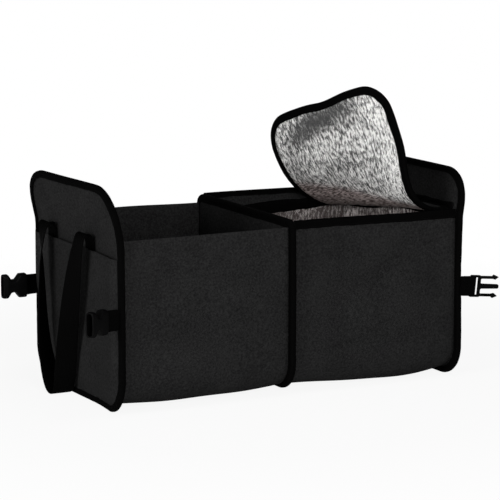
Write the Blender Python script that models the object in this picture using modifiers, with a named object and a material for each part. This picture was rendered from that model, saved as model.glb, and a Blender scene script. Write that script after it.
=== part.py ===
"""Car boot organizer with an open compartment and an insulated cooler compartment.

Felt sheets are sewn into two bound end panels and a bound divider. The cooler holds a foamed
foil insert, and a foil-lined lid is hinged along the right end panel. Webbing handles hang
outside both ends, and four short straps carry side-release buckle halves.

Frame: metres, X along the bag, -Y to the front, +Z up, origin on the floor at the middle.
"""
import math

import bmesh
import bpy
import numpy as np
from mathutils import Matrix, Vector

# Materials' thicknesses
FELT = 0.0014
BOARD = 0.0010
RIBBON = 0.0008
RIBBON_LEG = 0.0090
WEB = 0.0015
HANDLE_WIDTH = 0.030
STRAP_WIDTH = 0.026
FIT = 0.0003

# Bag
BAG_LENGTH = 0.540
PANEL_WIDTH = 0.304
PANEL_HEIGHT = 0.306
LEFT_FRONT_RADIUS = 0.077
LEFT_BACK_RADIUS = 0.060
RIGHT_FRONT_RADIUS = 0.056
RIGHT_BACK_RADIUS = 0.064
RIGHT_DROP = 0.0040
BOTTOM_RADIUS = 0.050
FLARE = 0.008
FLARE_START = 0.238
LEFT_TWIST = 0.45
BOARD_INSET = 0.014
SEAM_STAND_OUT = 0.0105
WALL_BULGE = 0.0040
LEFT_FLOOR_SAG = 0.0070
COOLER_FLOOR_SAG = 0.0085

# Divider
DIVIDER_X = -0.0110
DIVIDER_WIDTH = 0.301
DIVIDER_BASE = 0.0090
DIVIDER_TOP_RADIUS = 0.012
DIVIDER_FOAM = 0.0030
RIM_HEIGHT = 0.2495
LEFT_WALL_HEIGHT = 0.2405

# Pocket on each end panel
POCKET_HEIGHT = 0.2155
POCKET_SLACK = 0.0010
POCKET_RAMP = 0.020

# Cooler insert and base boards
FOAM = 0.0040
FOIL = 0.0008
INSERT_HEIGHT = 0.2260
BASE_BOARD = 0.0025

# Lid
LID_FELT = 0.0024
LID_FOIL = 0.0010
LID_LENGTH = 0.244
LID_FRONT = -0.133
LID_BACK = 0.126
LID_BACK_TAPER = 0.017
LID_FRONT_TAPER = 0.003
LID_CORNER_RADIUS = 0.048
LID_FRONT_ANGLES = (192.0, 154.0, 109.0, 99.0, 108.0, 114.0, 111.0)
LID_BACK_ANGLES = (235.0, 192.0, 156.0, 143.0, 122.0, 115.0, 125.0)
HEM_RADIUS = 0.0024
HINGE_TAPE = 0.0022
HINGE_HEIGHT = 0.2460
HINGE_TAPE_WIDTH = 0.0160

# Straps
STRAP_HEIGHT = 0.137
FOLDED_STRAP = 0.036
FOLDED_STRAP_HEIGHT = 0.1335
STRAP_RETURN = 0.018

# Buckles: a socket is the hollow half and a plug the pronged half
BUCKLE_TIP_X = 0.332
BUCKLE_WIDTH = 0.031
SOCKET_LENGTH = 0.036
SOCKET_THICKNESS = 0.0120
SOCKET_WALL = 0.0021
SOCKET_ROUNDING = 0.0028
SOCKET_WAIST = 0.017
SOCKET_BAR = 0.0022
SOCKET_BAR_AT = 0.0018
SOCKET_LEDGE = 0.0025
WEBBING_ROOM = 2 * (WEB + FIT) + 0.0008
CHAMFER = 0.0015
PLUG_LENGTH = 0.0460
PLUG_FRAME_LENGTH = 0.0180
PLUG_THICKNESS = 0.0030
PLUG_BAR = 0.0020
PLUG_BAR_AT = 0.0056
PLUG_RAIL = 0.0021
PRONG = 0.0020
PRONG_INSET = 0.0008
BARB_LENGTH = 0.0065
BARB_DEPTH = 0.0016
TONGUE = 0.0042
PLUG_DROOP = 6.0
PLUG_DROP = 0.002

# Cutters reach this far past what they cut
PAST = 0.001

# Depths of the layers of an end panel, from the outer face of its binding
POCKET_DEPTH = RIBBON + FIT
OUTER_DEPTH = POCKET_DEPTH + FELT + FIT
BOARD_DEPTH = OUTER_DEPTH + FELT + FIT
INNER_DEPTH = BOARD_DEPTH + BOARD + FIT
PANEL_THICKNESS = INNER_DEPTH + FELT + FIT + RIBBON
PANEL_INNER_X = BAG_LENGTH / 2 - INNER_DEPTH - FELT
PANEL_LEG_X = BAG_LENGTH / 2 - PANEL_THICKNESS

# The divider's layers
DIVIDER_THICKNESS = 2 * (RIBBON + FELT) + DIVIDER_FOAM + 4 * FIT
DIVIDER_LEFT_X = DIVIDER_X - DIVIDER_THICKNESS / 2
DIVIDER_RIGHT_X = DIVIDER_X + DIVIDER_THICKNESS / 2

# The compartment walls
WALL_HALF = PANEL_WIDTH / 2 - SEAM_STAND_OUT
WALL_BASE = SEAM_STAND_OUT
WALL_RADIUS = BOTTOM_RADIUS - SEAM_STAND_OUT
FLOOR_TOP = WALL_BASE + FELT

# The hinge axis, parallel to Y
HINGE_X = PANEL_INNER_X - FIT - HINGE_TAPE - FIT - HEM_RADIUS


def new_collection(name):
    collection = bpy.data.collections.new(name)
    bpy.context.scene.collection.children.link(collection)
    return collection


for old in list(bpy.data.objects):
    bpy.data.objects.remove(old)

parts = new_collection("car_organizer_cooler_bag")
cutters = new_collection("cutters")


def material(name, color, roughness, metallic=0.0):
    made = bpy.data.materials.new(name)
    made.use_nodes = True
    shader = made.node_tree.nodes["Principled BSDF"]
    shader.inputs["Base Color"].default_value = (*color, 1.0)
    shader.inputs["Roughness"].default_value = roughness
    shader.inputs["Metallic"].default_value = metallic
    return made


felt_finish = material("charcoal_felt", (0.018, 0.018, 0.019), 0.95)
ribbon_finish = material("black_ribbon", (0.006, 0.006, 0.007), 0.8)
webbing_finish = material("black_webbing", (0.008, 0.008, 0.009), 0.75)
plastic_finish = material("black_plastic", (0.010, 0.010, 0.011), 0.4)
foil_finish = material("silver_foil", (0.75, 0.74, 0.73), 0.3, 1.0)
foam_finish = material("white_foam", (0.80, 0.80, 0.78), 0.9)
board_finish = material("grey_board", (0.12, 0.12, 0.12), 0.8)


def add_object(name, mesh, finish, collection=parts):
    made = bpy.data.objects.new(name, mesh)
    collection.objects.link(made)
    if finish is not None:
        mesh.materials.append(finish)
    return made


def grid_mesh(name, rows, closed=False):
    """An open mesh through rows of points, joined end to start when closed."""
    mesh = bpy.data.meshes.new(name)
    bm = bmesh.new()
    verts = [[bm.verts.new(point) for point in row] for row in rows]
    pairs = list(zip(verts[:-1], verts[1:]))
    if closed:
        pairs.append((verts[-1], verts[0]))
    for near, far in pairs:
        for i in range(len(near) - 1):
            bm.faces.new((near[i], near[i + 1], far[i + 1], far[i]))
    bmesh.ops.recalc_face_normals(bm, faces=bm.faces)
    bm.to_mesh(mesh)
    bm.free()
    return mesh


def tube_mesh(name, rows, closed=False):
    """A closed mesh through rows that are closed loops of points, capped unless it is a ring."""
    mesh = bpy.data.meshes.new(name)
    bm = bmesh.new()
    verts = [[bm.verts.new(point) for point in row] for row in rows]
    pairs = list(zip(verts[:-1], verts[1:]))
    if closed:
        pairs.append((verts[-1], verts[0]))
    else:
        bm.faces.new(verts[0])
        bm.faces.new(verts[-1])
    for near, far in pairs:
        for i in range(len(near)):
            k = (i + 1) % len(near)
            bm.faces.new((near[i], near[k], far[k], far[i]))
    bmesh.ops.recalc_face_normals(bm, faces=bm.faces)
    bm.to_mesh(mesh)
    bm.free()
    return mesh


def folded_profile(leg, low, high):
    """Section of a folded ribbon as (inward from the edge, depth), a closed loop."""
    return (
        (leg, low), (0.0, low), (0.0, high), (leg, high),
        (leg, high - RIBBON), (RIBBON, high - RIBBON), (RIBBON, low + RIBBON), (leg, low + RIBBON))


def thicken(made, thickness, even=False):
    solid = made.modifiers.new("thickness", "SOLIDIFY")
    solid.thickness = thickness
    solid.offset = 0.0
    solid.use_even_offset = even
    return made


def smooth_step(t):
    t = min(max(t, 0.0), 1.0)
    return t * t * (3.0 - 2.0 * t)


def normal_at(surface, u, v, step=0.0005):
    """Unit normal of a surface, from the differences of its points."""
    along = surface(u + step, v) - surface(u - step, v)
    across = surface(u, v + step) - surface(u, v - step)
    return along.cross(across).normalized()


# Outlines: u runs up or along a sheet and v across it

def corner_inset(u, low, high, low_radius, high_radius):
    """How far a rounded corner pulls the edge in at level u."""
    if u < low + low_radius:
        rise = min(low + low_radius - u, low_radius)
        return low_radius - math.sqrt(low_radius ** 2 - rise ** 2)
    if u > high - high_radius:
        rise = min(u - high + high_radius, high_radius)
        return high_radius - math.sqrt(high_radius ** 2 - rise ** 2)
    return 0.0


def levels(low, high, low_radius, high_radius, corner_steps=7, straight_steps=6):
    """Levels of a rounded sheet, closest together where its corners turn."""
    quarter = [1 - math.cos(math.pi / 2 * i / corner_steps) for i in range(corner_steps + 1)]
    rising = [low + low_radius * rise for rise in quarter] if low_radius else [low]
    falling = [high - high_radius * rise for rise in reversed(quarter)] if high_radius else [high]
    start, end = rising[-1], falling[0]
    middle = [start + (end - start) * i / straight_steps for i in range(1, straight_steps)]
    return rising + middle + falling


def rounded_outline(low, high, half, radii, corner_steps=7):
    """Four corner arcs of a rounded sheet, with points (u, v, inward u, inward v).

    radii are those of the low front, low back, high back and high front corners.
    """
    corners = ((low, -half), (low, half), (high, half), (high, -half))
    arcs = []
    for k, ((u, v), radius) in enumerate(zip(corners, radii)):
        centre_u = u + (radius if u == low else -radius)
        centre_v = v + (radius if v < 0 else -radius)
        arc = []
        for i in range(corner_steps + 1):
            turn = math.pi + math.pi / 2 * (k + i / corner_steps)
            out_u, out_v = math.sin(turn), math.cos(turn)
            arc.append((centre_u + radius * out_u, centre_v + radius * out_v, -out_u, -out_v))
        arcs.append(arc)
    return arcs


def join_arcs(arcs, closed, straight_steps):
    """Outline through the arcs, with stations along the straight runs between them."""
    outline = []
    for i, arc in enumerate(arcs):
        outline += arc
        if i == len(arcs) - 1 and not closed:
            break
        after = arcs[(i + 1) % len(arcs)][0]
        last = arc[-1]
        for k in range(1, straight_steps):
            t = k / straight_steps
            outline.append(tuple(a + (b - a) * t for a, b in zip(last, after)))
    return outline


def even_places(columns):
    """Evenly spaced places between two ends."""
    def between(first, last):
        return [first + (last - first) * i / (columns - 1) for i in range(columns)]
    return between


def sheet(name, surface, rows, depth, thickness, finish, places=even_places(2), lift=None):
    """A layer lying between two depths under a surface.

    rows are (u, first v, last v), places(first v, last v) gives the points of a row, and
    lift(u, v) raises the layer towards the outside.
    """
    middle = depth + thickness / 2
    points = []
    for u, first, last in rows:
        row = []
        for v in places(first, last):
            raised = lift(u, v) if lift else 0.0
            row.append(surface(u, v) + normal_at(surface, u, v) * (middle - raised))
        points.append(row)
    made = add_object(name, grid_mesh(name, points), finish)
    return thicken(made, thickness)


def binding(name, surface, outline, low_depth, high_depth, closed, leg=RIBBON_LEG):
    """A ribbon folded over a sheet's edge, with a leg on each face."""
    profile = folded_profile(leg, low_depth, high_depth)
    rows = []
    for u, v, in_u, in_v in outline:
        row = []
        for inward, depth in profile:
            at_u, at_v = u + in_u * inward, v + in_v * inward
            row.append(surface(at_u, at_v) + normal_at(surface, at_u, at_v) * depth)
        rows.append(row)
    return add_object(name, tube_mesh(name, rows, closed), ribbon_finish)


def flat_rows(low, high, half, low_radius, first_radius, last_radius):
    """Rows of a rounded sheet whose two top corners may differ."""
    rows = []
    for u in levels(low, high, low_radius, max(first_radius, last_radius), corner_steps=9):
        first = half - corner_inset(u, low, high, low_radius, first_radius)
        last = half - corner_inset(u, low, high, low_radius, last_radius)
        rows.append((u, -first, last))
    return rows


# End panels

def panel_surface(side, height, twist):
    """Outer face of an end panel: u is the height and v the place across. Normals point into the bag.

    The top leans outwards, and more so towards the back when twist is positive.
    """
    def at(u, v):
        y = side * v
        lean = FLARE * (1 + twist * y / (PANEL_WIDTH / 2))
        lean *= smooth_step((u - FLARE_START) / (height - FLARE_START))
        return Vector((side * (BAG_LENGTH / 2 + lean), y, u))
    return at


def build_end_panel(prefix, side, height, front_radius, back_radius, twist):
    surface = panel_surface(side, height, twist)
    half = PANEL_WIDTH / 2
    edge = RIBBON + 2 * FIT
    first_radius, last_radius = (front_radius, back_radius) if side > 0 else (back_radius, front_radius)

    def layer(name, depth, thickness, finish, inset):
        rows = flat_rows(inset, height - inset, half - inset, BOTTOM_RADIUS - inset,
                         first_radius - inset, last_radius - inset)
        return sheet(prefix + name, surface, rows, depth, thickness, finish, even_places(5))

    layer("_outer_felt", OUTER_DEPTH, FELT, felt_finish, edge)
    layer("_stiffener", BOARD_DEPTH, BOARD, board_finish, BOARD_INSET)
    layer("_inner_felt", INNER_DEPTH, FELT, felt_finish, edge)

    radii = (BOTTOM_RADIUS, BOTTOM_RADIUS, last_radius, first_radius)
    outline = join_arcs(rounded_outline(0.0, height, half, radii, corner_steps=9), True, 6)
    binding(prefix + "_binding", surface, outline, 0.0, PANEL_THICKNESS, True)
    build_pocket(prefix + "_pocket", surface, half - edge, edge)


def build_pocket(name, surface, half, edge):
    """A felt sheet held in the binding at its sides and foot, standing off for the webbing."""
    bulge = WEB + FIT + POCKET_SLACK
    flat = RIBBON_LEG + FIT
    ramp = POCKET_RAMP

    def lift(u, v):
        to_side = half + edge - abs(v)
        if u < BOTTOM_RADIUS and to_side < BOTTOM_RADIUS:
            to_edge = BOTTOM_RADIUS - math.hypot(BOTTOM_RADIUS - u, BOTTOM_RADIUS - to_side)
        else:
            to_edge = min(to_side, u)
        return bulge * smooth_step((to_edge - flat) / ramp)

    def places(first, last):
        from_edge = [0.0, flat + FIT, flat + 0.3 * ramp, flat + 0.6 * ramp, flat + ramp]
        inner = even_places(7)(first + flat + 1.6 * ramp, last - flat - 1.6 * ramp)
        return [first + d for d in from_edge] + inner + [last - d for d in reversed(from_edge)]

    rows = []
    radius = BOTTOM_RADIUS - edge
    for u in levels(edge, POCKET_HEIGHT, radius, 0.0, corner_steps=9, straight_steps=6):
        width = half - corner_inset(u, edge, POCKET_HEIGHT, radius, 0.0)
        rows.append((u, -width, width))
    sheet(name, surface, rows, POCKET_DEPTH, FELT, felt_finish, places, lift)


build_end_panel("left", -1, PANEL_HEIGHT, LEFT_FRONT_RADIUS, LEFT_BACK_RADIUS, LEFT_TWIST)
build_end_panel("right", 1, PANEL_HEIGHT - RIGHT_DROP, RIGHT_FRONT_RADIUS, RIGHT_BACK_RADIUS, 0.0)


# Divider

def divider_surface(u, v):
    """Left face of the divider's binding, with normals towards the cooler."""
    return Vector((DIVIDER_LEFT_X, -v, u))


def build_divider():
    edge = RIBBON + 2 * FIT
    half = DIVIDER_WIDTH / 2
    low_radius = BOTTOM_RADIUS - DIVIDER_BASE
    depth = RIBBON + FIT
    layers = (
        ("divider_left_felt", FELT, felt_finish),
        ("divider_foam", DIVIDER_FOAM, foam_finish),
        ("divider_right_felt", FELT, felt_finish))
    for name, thickness, finish in layers:
        rows = flat_rows(DIVIDER_BASE + edge, RIM_HEIGHT - edge, half - edge,
                         low_radius - edge, DIVIDER_TOP_RADIUS - edge, DIVIDER_TOP_RADIUS - edge)
        sheet(name, divider_surface, rows, depth, thickness, finish)
        depth += thickness + FIT
    radii = (low_radius, low_radius, DIVIDER_TOP_RADIUS, DIVIDER_TOP_RADIUS)
    arcs = rounded_outline(DIVIDER_BASE, RIM_HEIGHT, half, radii)
    binding("divider_binding", divider_surface, join_arcs(arcs, True, 4), 0.0, DIVIDER_THICKNESS, True)


build_divider()


# Compartment walls: one felt sheet runs down the front, under the floor and up the back

def wall_profile(top):
    """Lengths along the sheet where its front, corners, floor and back meet."""
    upright = top - WALL_BASE - WALL_RADIUS
    bend = math.pi / 2 * WALL_RADIUS
    floor = 2 * (WALL_HALF - WALL_RADIUS)
    return upright, bend, floor


def wall_surface(top, first_x, last_x, sag):
    """Outer face: u runs from the front rim to the back rim, v along the bag. Normals point in."""
    upright, bend, floor = wall_profile(top)

    def flat(u):
        if u <= upright:
            return -WALL_HALF, top - u, math.pi
        u -= upright
        if u <= bend:
            turn = u / WALL_RADIUS
            y = -WALL_HALF + WALL_RADIUS * (1 - math.cos(turn))
            return y, WALL_BASE + WALL_RADIUS * (1 - math.sin(turn)), math.pi + turn
        u -= bend
        if u <= floor:
            return -WALL_HALF + WALL_RADIUS + u, WALL_BASE, 1.5 * math.pi
        u -= floor
        if u <= bend:
            turn = u / WALL_RADIUS
            y = WALL_HALF - WALL_RADIUS * (1 - math.sin(turn))
            return y, WALL_BASE + WALL_RADIUS * (1 - math.cos(turn)), 1.5 * math.pi + turn
        return WALL_HALF, WALL_BASE + WALL_RADIUS + u - bend, 2 * math.pi

    total = 2 * upright + 2 * bend + floor

    def at(u, v):
        y, z, facing = flat(u)
        across = min(max((v - first_x) / (last_x - first_x), 0.0), 1.0)
        down = smooth_step(min(u, total - u) / (0.75 * upright))
        under = smooth_step((min(u, total - u) - upright) / bend)
        swell = WALL_BULGE * down + (sag - WALL_BULGE) * under
        bulge = swell * math.sin(math.pi * across) ** 0.8
        return Vector((v, y + bulge * math.cos(facing), z + bulge * math.sin(facing)))
    return at, total


def build_walls(name, top, first_x, last_x, sag):
    surface, total = wall_surface(top, first_x, last_x, sag)
    upright, bend, floor = wall_profile(top)
    stations = [upright * i / 6 for i in range(6)]
    stations += [upright + bend * i / 8 for i in range(8)]
    stations += [upright + bend + floor * i / 5 for i in range(5)]
    stations += [upright + bend + floor + bend * i / 8 for i in range(8)]
    stations += [upright + 2 * bend + floor + upright * i / 6 for i in range(7)]
    columns = 11
    rows = []
    for u in stations:
        row = []
        for i in range(columns):
            v = first_x + (last_x - first_x) * i / (columns - 1)
            normal = normal_at(surface, min(max(u, PAST), total - PAST), v)
            outward = surface(u, v) - Vector((v, 0.0, top))
            inward = -normal if normal.dot(outward) > 0 else normal
            row.append(surface(u, v) + inward * FELT / 2)
        rows.append(row)
    made = add_object(name, grid_mesh(name, rows), felt_finish)
    thicken(made, FELT)


LEFT_WALLS_X = (-PANEL_INNER_X + FIT, DIVIDER_LEFT_X - FIT)
COOLER_WALLS_X = (DIVIDER_RIGHT_X + FIT, PANEL_INNER_X - FIT)
build_walls("left_compartment_walls", LEFT_WALL_HEIGHT, *LEFT_WALLS_X, LEFT_FLOOR_SAG)
build_walls("cooler_walls", RIM_HEIGHT - RIBBON - FIT, *COOLER_WALLS_X, COOLER_FLOOR_SAG)


def build_rim_binding(name, side):
    """Ribbon over the top edge of the cooler's front or back wall."""
    first, last = DIVIDER_RIGHT_X + FIT, PANEL_LEG_X - FIT

    def surface(u, v):
        return Vector((v, side * WALL_HALF, RIM_HEIGHT - u))
    outer = RIBBON + FIT
    depths = (-FELT - outer, outer) if side < 0 else (-outer, FELT + outer)
    stations = [(0.0, first + (last - first) * i / 4, 1.0, 0.0) for i in range(5)]
    binding(name, surface, stations, depths[0], depths[1], False)


build_rim_binding("cooler_front_rim_binding", -1)
build_rim_binding("cooler_back_rim_binding", 1)


def box(name, low, high, finish, collection=parts):
    """A box between two corners."""
    mesh = bpy.data.meshes.new(name)
    bm = bmesh.new()
    size = Vector(high) - Vector(low)
    centre = (Vector(high) + Vector(low)) / 2
    bmesh.ops.create_cube(bm, size=1.0, matrix=Matrix.Translation(centre) @ Matrix.Diagonal((*size, 1.0)))
    bm.to_mesh(mesh)
    bm.free()
    return add_object(name, mesh, finish, collection)


def build_base_board(name, first_x, last_x):
    half = WALL_HALF - WALL_RADIUS + BASE_BOARD - 2 * FIT
    low = FLOOR_TOP + FIT
    box(name, (first_x, -half, low), (last_x, half, low + BASE_BOARD), board_finish)


build_base_board("left_base_board", LEFT_WALLS_X[0] + FIT, LEFT_WALLS_X[1] - FIT)
build_base_board("cooler_base_board", COOLER_WALLS_X[0] + FIT, COOLER_WALLS_X[1] - FIT)


# Cooler insert: a foam tub with a foil lining and a bound rim

INSERT_CLEARANCE = FELT + FIT + RIBBON + FIT
INSERT_HALF = WALL_HALF - INSERT_CLEARANCE
INSERT_BASE = FLOOR_TOP + FIT + BASE_BOARD + FIT
INSERT_X = (DIVIDER_RIGHT_X + FIT + RIBBON, PANEL_INNER_X - FIT - RIBBON - FIT)
INSERT_CORNER = WALL_RADIUS - INSERT_CLEARANCE


def trough_profile(half, base, top, radius, steps=8):
    """Section of a trough: upright sides, round lower corners and a flat floor."""
    points = [(-half, top)]
    for i in range(steps + 1):
        turn = math.pi / 2 * i / steps
        points.append((-half + radius * (1 - math.cos(turn)), base + radius * (1 - math.sin(turn))))
    points += [(-y, z) for y, z in reversed(points)]
    return points


def trough(name, x_range, profile, finish, collection=parts):
    """A solid with one section all along X."""
    mesh = bpy.data.meshes.new(name)
    bm = bmesh.new()
    verts = [bm.verts.new((x_range[0], y, z)) for y, z in profile]
    face = bm.faces.new(verts)
    moved = bmesh.ops.extrude_face_region(bm, geom=[face])["geom"]
    far = [item for item in moved if isinstance(item, bmesh.types.BMVert)]
    bmesh.ops.translate(bm, verts=far, vec=(x_range[1] - x_range[0], 0.0, 0.0))
    bmesh.ops.recalc_face_normals(bm, faces=bm.faces)
    bm.to_mesh(mesh)
    bm.free()
    return add_object(name, mesh, finish, collection)


def cut(made, cutter):
    cutter.display_type = "WIRE"
    cutter.hide_render = True
    boolean = made.modifiers.new("cut", "BOOLEAN")
    boolean.operation = "DIFFERENCE"
    boolean.solver = "EXACT"
    boolean.object = cutter


def build_tub(name, x_range, half, base, radius, wall, finish):
    """An open-topped tub whose walls are all one thickness."""
    top = INSERT_HEIGHT - RIBBON - FIT
    outer = trough(name, x_range, trough_profile(half, base, top, radius), finish)
    hollow_x = (x_range[0] + wall, x_range[1] - wall)
    hollow = trough_profile(half - wall, base + wall, top + wall, radius - wall)
    cut(outer, trough(name + "_hollow", hollow_x, hollow, None, cutters))


build_tub("insert_foam", INSERT_X, INSERT_HALF, INSERT_BASE, INSERT_CORNER, FOAM, foam_finish)
LINING_SHIFT = FOAM + FIT
LINING_X = (INSERT_X[0] + LINING_SHIFT, INSERT_X[1] - LINING_SHIFT)
build_tub("insert_foil", LINING_X, INSERT_HALF - LINING_SHIFT, INSERT_BASE + LINING_SHIFT,
          INSERT_CORNER - LINING_SHIFT, FOIL, foil_finish)


def build_insert_rim():
    """Ribbon over the insert's top edge, square at its corners as the tub is."""
    wall = FOAM + FIT + FOIL
    outer = RIBBON + FIT
    profile = folded_profile(RIBBON_LEG, -outer, wall + outer)
    corners = (
        (INSERT_X[0], -INSERT_HALF, 1, 1), (INSERT_X[1], -INSERT_HALF, -1, 1),
        (INSERT_X[1], INSERT_HALF, -1, -1), (INSERT_X[0], INSERT_HALF, 1, -1))
    rows = []
    for x, y, in_x, in_y in corners:
        rows.append([(x + in_x * inset, y + in_y * inset, INSERT_HEIGHT - down) for down, inset in profile])
    add_object("insert_rim_binding", tube_mesh("insert_rim_binding", rows, True), ribbon_finish)


build_insert_rim()


# Lid: a curled and twisted sheet on a hinge along the right end panel

LID_STEPS = 48


def lid_point(u, v):
    """Point at length u from the hinge and at v across it, between the felt and the foil.

    The sheet's direction turns along u by the angles listed, in even arcs, from those of the
    front edge to those of the back edge across v.
    """
    middle = (LID_FRONT + LID_BACK) / 2
    across = (v - LID_FRONT) / (LID_BACK - LID_FRONT)
    knots = np.linspace(0.0, LID_LENGTH, len(LID_FRONT_ANGLES))
    angles = np.array(LID_FRONT_ANGLES) * (1 - across) + np.array(LID_BACK_ANGLES) * across
    stations = np.linspace(0.0, u, LID_STEPS + 1)
    turned = np.radians(np.interp((stations[:-1] + stations[1:]) / 2, knots, angles))
    step = u / LID_STEPS
    x = HINGE_X + float(np.cos(turned).sum()) * step
    z = HINGE_HEIGHT + float(np.sin(turned).sum()) * step
    taper = LID_BACK_TAPER if v > middle else LID_FRONT_TAPER
    y = v - math.copysign(taper, v - middle) * (u / LID_LENGTH) ** 2 * abs(2 * across - 1)
    return Vector((x, y, z))


def lid_rows(inset):
    start = HEM_RADIUS + FIT
    end = LID_LENGTH - inset
    radius = LID_CORNER_RADIUS - inset
    rows = []
    for u in levels(start, end, 0.0, radius, corner_steps=8, straight_steps=16):
        pull = corner_inset(u, start, end, 0.0, radius)
        rows.append((u, LID_FRONT + inset + pull, LID_BACK - inset - pull))
    return rows


def build_lid():
    edge = RIBBON + 2 * FIT
    felt_side = -1.0 if normal_at(lid_point, 0.1, 0.0).z > 0 else 1.0
    half_fit = FIT / 2
    rows = lid_rows(edge)
    felt_depth = half_fit if felt_side < 0 else -half_fit - LID_FELT
    foil_depth = -half_fit - LID_FOIL if felt_side < 0 else half_fit
    felt = sheet("lid_felt", lid_point, rows, felt_depth, LID_FELT, felt_finish, even_places(13))
    foil = sheet("lid_foil", lid_point, rows, foil_depth, LID_FOIL, foil_finish, even_places(13))

    start = HEM_RADIUS + FIT
    middle = (LID_FRONT + LID_BACK) / 2
    half = (LID_BACK - LID_FRONT) / 2
    radii = (0.0, 0.0, LID_CORNER_RADIUS, LID_CORNER_RADIUS)
    arcs = rounded_outline(start, LID_LENGTH, half, radii, corner_steps=9)
    front, back = [(start, -half, 0.0, 1.0)], [(start, half, 0.0, -1.0)]
    run = join_arcs([back, arcs[2], arcs[3], front], False, 14)
    outline = [(u, v + middle, in_u, in_v) for u, v, in_u, in_v in run]
    depths = (min(felt_depth, foil_depth) - edge, max(felt_depth + LID_FELT, foil_depth + LID_FOIL) + edge)
    ribbon = binding("lid_binding", lid_point, outline, depths[0], depths[1], False)

    mesh = bpy.data.meshes.new("lid_root_hem")
    bm = bmesh.new()
    length = LID_BACK - LID_FRONT
    turn = Matrix.Rotation(math.pi / 2, 4, "X")
    bmesh.ops.create_cone(bm, cap_ends=True, segments=16, radius1=HEM_RADIUS, radius2=HEM_RADIUS,
                          depth=length, matrix=turn)
    bm.to_mesh(mesh)
    bm.free()
    hem = add_object("lid_root_hem", mesh, ribbon_finish)
    hem.location = (0.0, middle, 0.0)

    axis = bpy.data.objects.new("lid_hinge_axis", None)
    cutters.objects.link(axis)
    axis.location = (HINGE_X, 0.0, HINGE_HEIGHT)
    hem.parent = axis
    for piece in (felt, foil, ribbon):
        piece.parent = axis
        piece.location = -axis.location

    low = HINGE_HEIGHT - HINGE_TAPE_WIDTH / 2
    last_x = PANEL_INNER_X - FIT
    box("lid_hinge_tape", (last_x - HINGE_TAPE, LID_FRONT, low),
        (last_x, LID_BACK, low + HINGE_TAPE_WIDTH), ribbon_finish)


build_lid()


# Webbing

def smooth_path(points, steps):
    """Points of a Catmull-Rom curve through the given ones."""
    padded = [points[0]] + list(points) + [points[-1]]
    path = []
    for i in range(1, len(padded) - 2):
        a, b, c, d = (np.array(padded[k], dtype=float) for k in (i - 1, i, i + 1, i + 2))
        for k in range(steps):
            t = k / steps
            path.append(0.5 * (2 * b + (c - a) * t + (2 * a - 5 * b + 4 * c - d) * t ** 2
                               + (3 * b - a - 3 * c + d) * t ** 3))
    path.append(np.array(points[-1], dtype=float))
    return path


# Route of a handle's middle line: distance from the bag's middle, place across, height,
# and how far the webbing has turned about the vertical, in degrees
ANCHOR_X = BAG_LENGTH / 2 - OUTER_DEPTH + FIT + WEB / 2
HANDLE_ROUTE = (
    (ANCHOR_X, -0.054, 0.176, 0), (ANCHOR_X, -0.054, 0.214, 0), (0.2705, -0.0535, 0.2290, 0),
    (0.2775, -0.0525, 0.2375, 0), (0.2860, -0.0490, 0.2345, 0), (0.2905, -0.0430, 0.2190, 4),
    (0.2915, -0.0355, 0.1990, 10), (0.2918, -0.0280, 0.1740, 19), (0.2916, -0.0190, 0.1410, 30),
    (0.2910, -0.0083, 0.0990, 44), (0.2900, 0.0035, 0.0570, 60), (0.2890, 0.0130, 0.0260, 76),
    (0.2884, 0.0240, 0.0075, 86), (0.2882, 0.0400, 0.0040, 92), (0.2884, 0.0560, 0.0110, 98),
    (0.2890, 0.0700, 0.0320, 110), (0.2900, 0.0785, 0.0580, 124), (0.2908, 0.0820, 0.0880, 140),
    (0.2912, 0.0820, 0.1220, 158), (0.2915, 0.0805, 0.1560, 170), (0.2915, 0.0785, 0.1900, 176),
    (0.2905, 0.0760, 0.2170, 180), (0.2860, 0.0740, 0.2335, 180), (0.2775, 0.0725, 0.2365, 180),
    (0.2705, 0.0720, 0.2285, 180), (ANCHOR_X, 0.0720, 0.214, 180), (ANCHOR_X, 0.0720, 0.176, 180))


def build_handle(name, side):
    rows = []
    for x, y, z, turned in smooth_path(HANDLE_ROUTE, 3):
        turn = math.radians(turned)
        across = Vector((-side * math.sin(turn), -math.cos(turn), 0.0))
        centre = Vector((side * x, y, z))
        rows.append([centre - across * HANDLE_WIDTH / 2, centre + across * HANDLE_WIDTH / 2])
    made = add_object(name, grid_mesh(name, rows), webbing_finish)
    thicken(made, WEB, even=True)


build_handle("left_handle", -1)
build_handle("right_handle", 1)


def build_strap(name, placed, length, radius):
    """Webbing from the seam, round a buckle's bar and back on itself.

    placed takes local points: x along the strap, y across it, z towards the returning layer.
    """
    path = [(length * i / 3, 0.0) for i in range(4)]
    for i in range(1, 9):
        turn = math.pi * i / 8
        path.append((length + radius * math.sin(turn), radius * (1 - math.cos(turn))))
    path += [(length - 0.28 * STRAP_RETURN, 2 * radius),
             (length - 0.56 * STRAP_RETURN, radius + (WEB + FIT) / 2),
             (length - 0.78 * STRAP_RETURN, WEB + FIT), (length - STRAP_RETURN, WEB + FIT)]
    rows = []
    for along, above in path:
        rows.append([placed @ Vector((along, side * STRAP_WIDTH / 2, above)) for side in (-1, 1)])
    made = add_object(name, grid_mesh(name, rows), webbing_finish)
    thicken(made, WEB, even=True)


def bar_loop_radius(half_along, half_thick):
    """Middle radius of webbing that wraps a bar with a small clearance."""
    return math.hypot(half_along, half_thick) + FIT + WEB / 2


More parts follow.
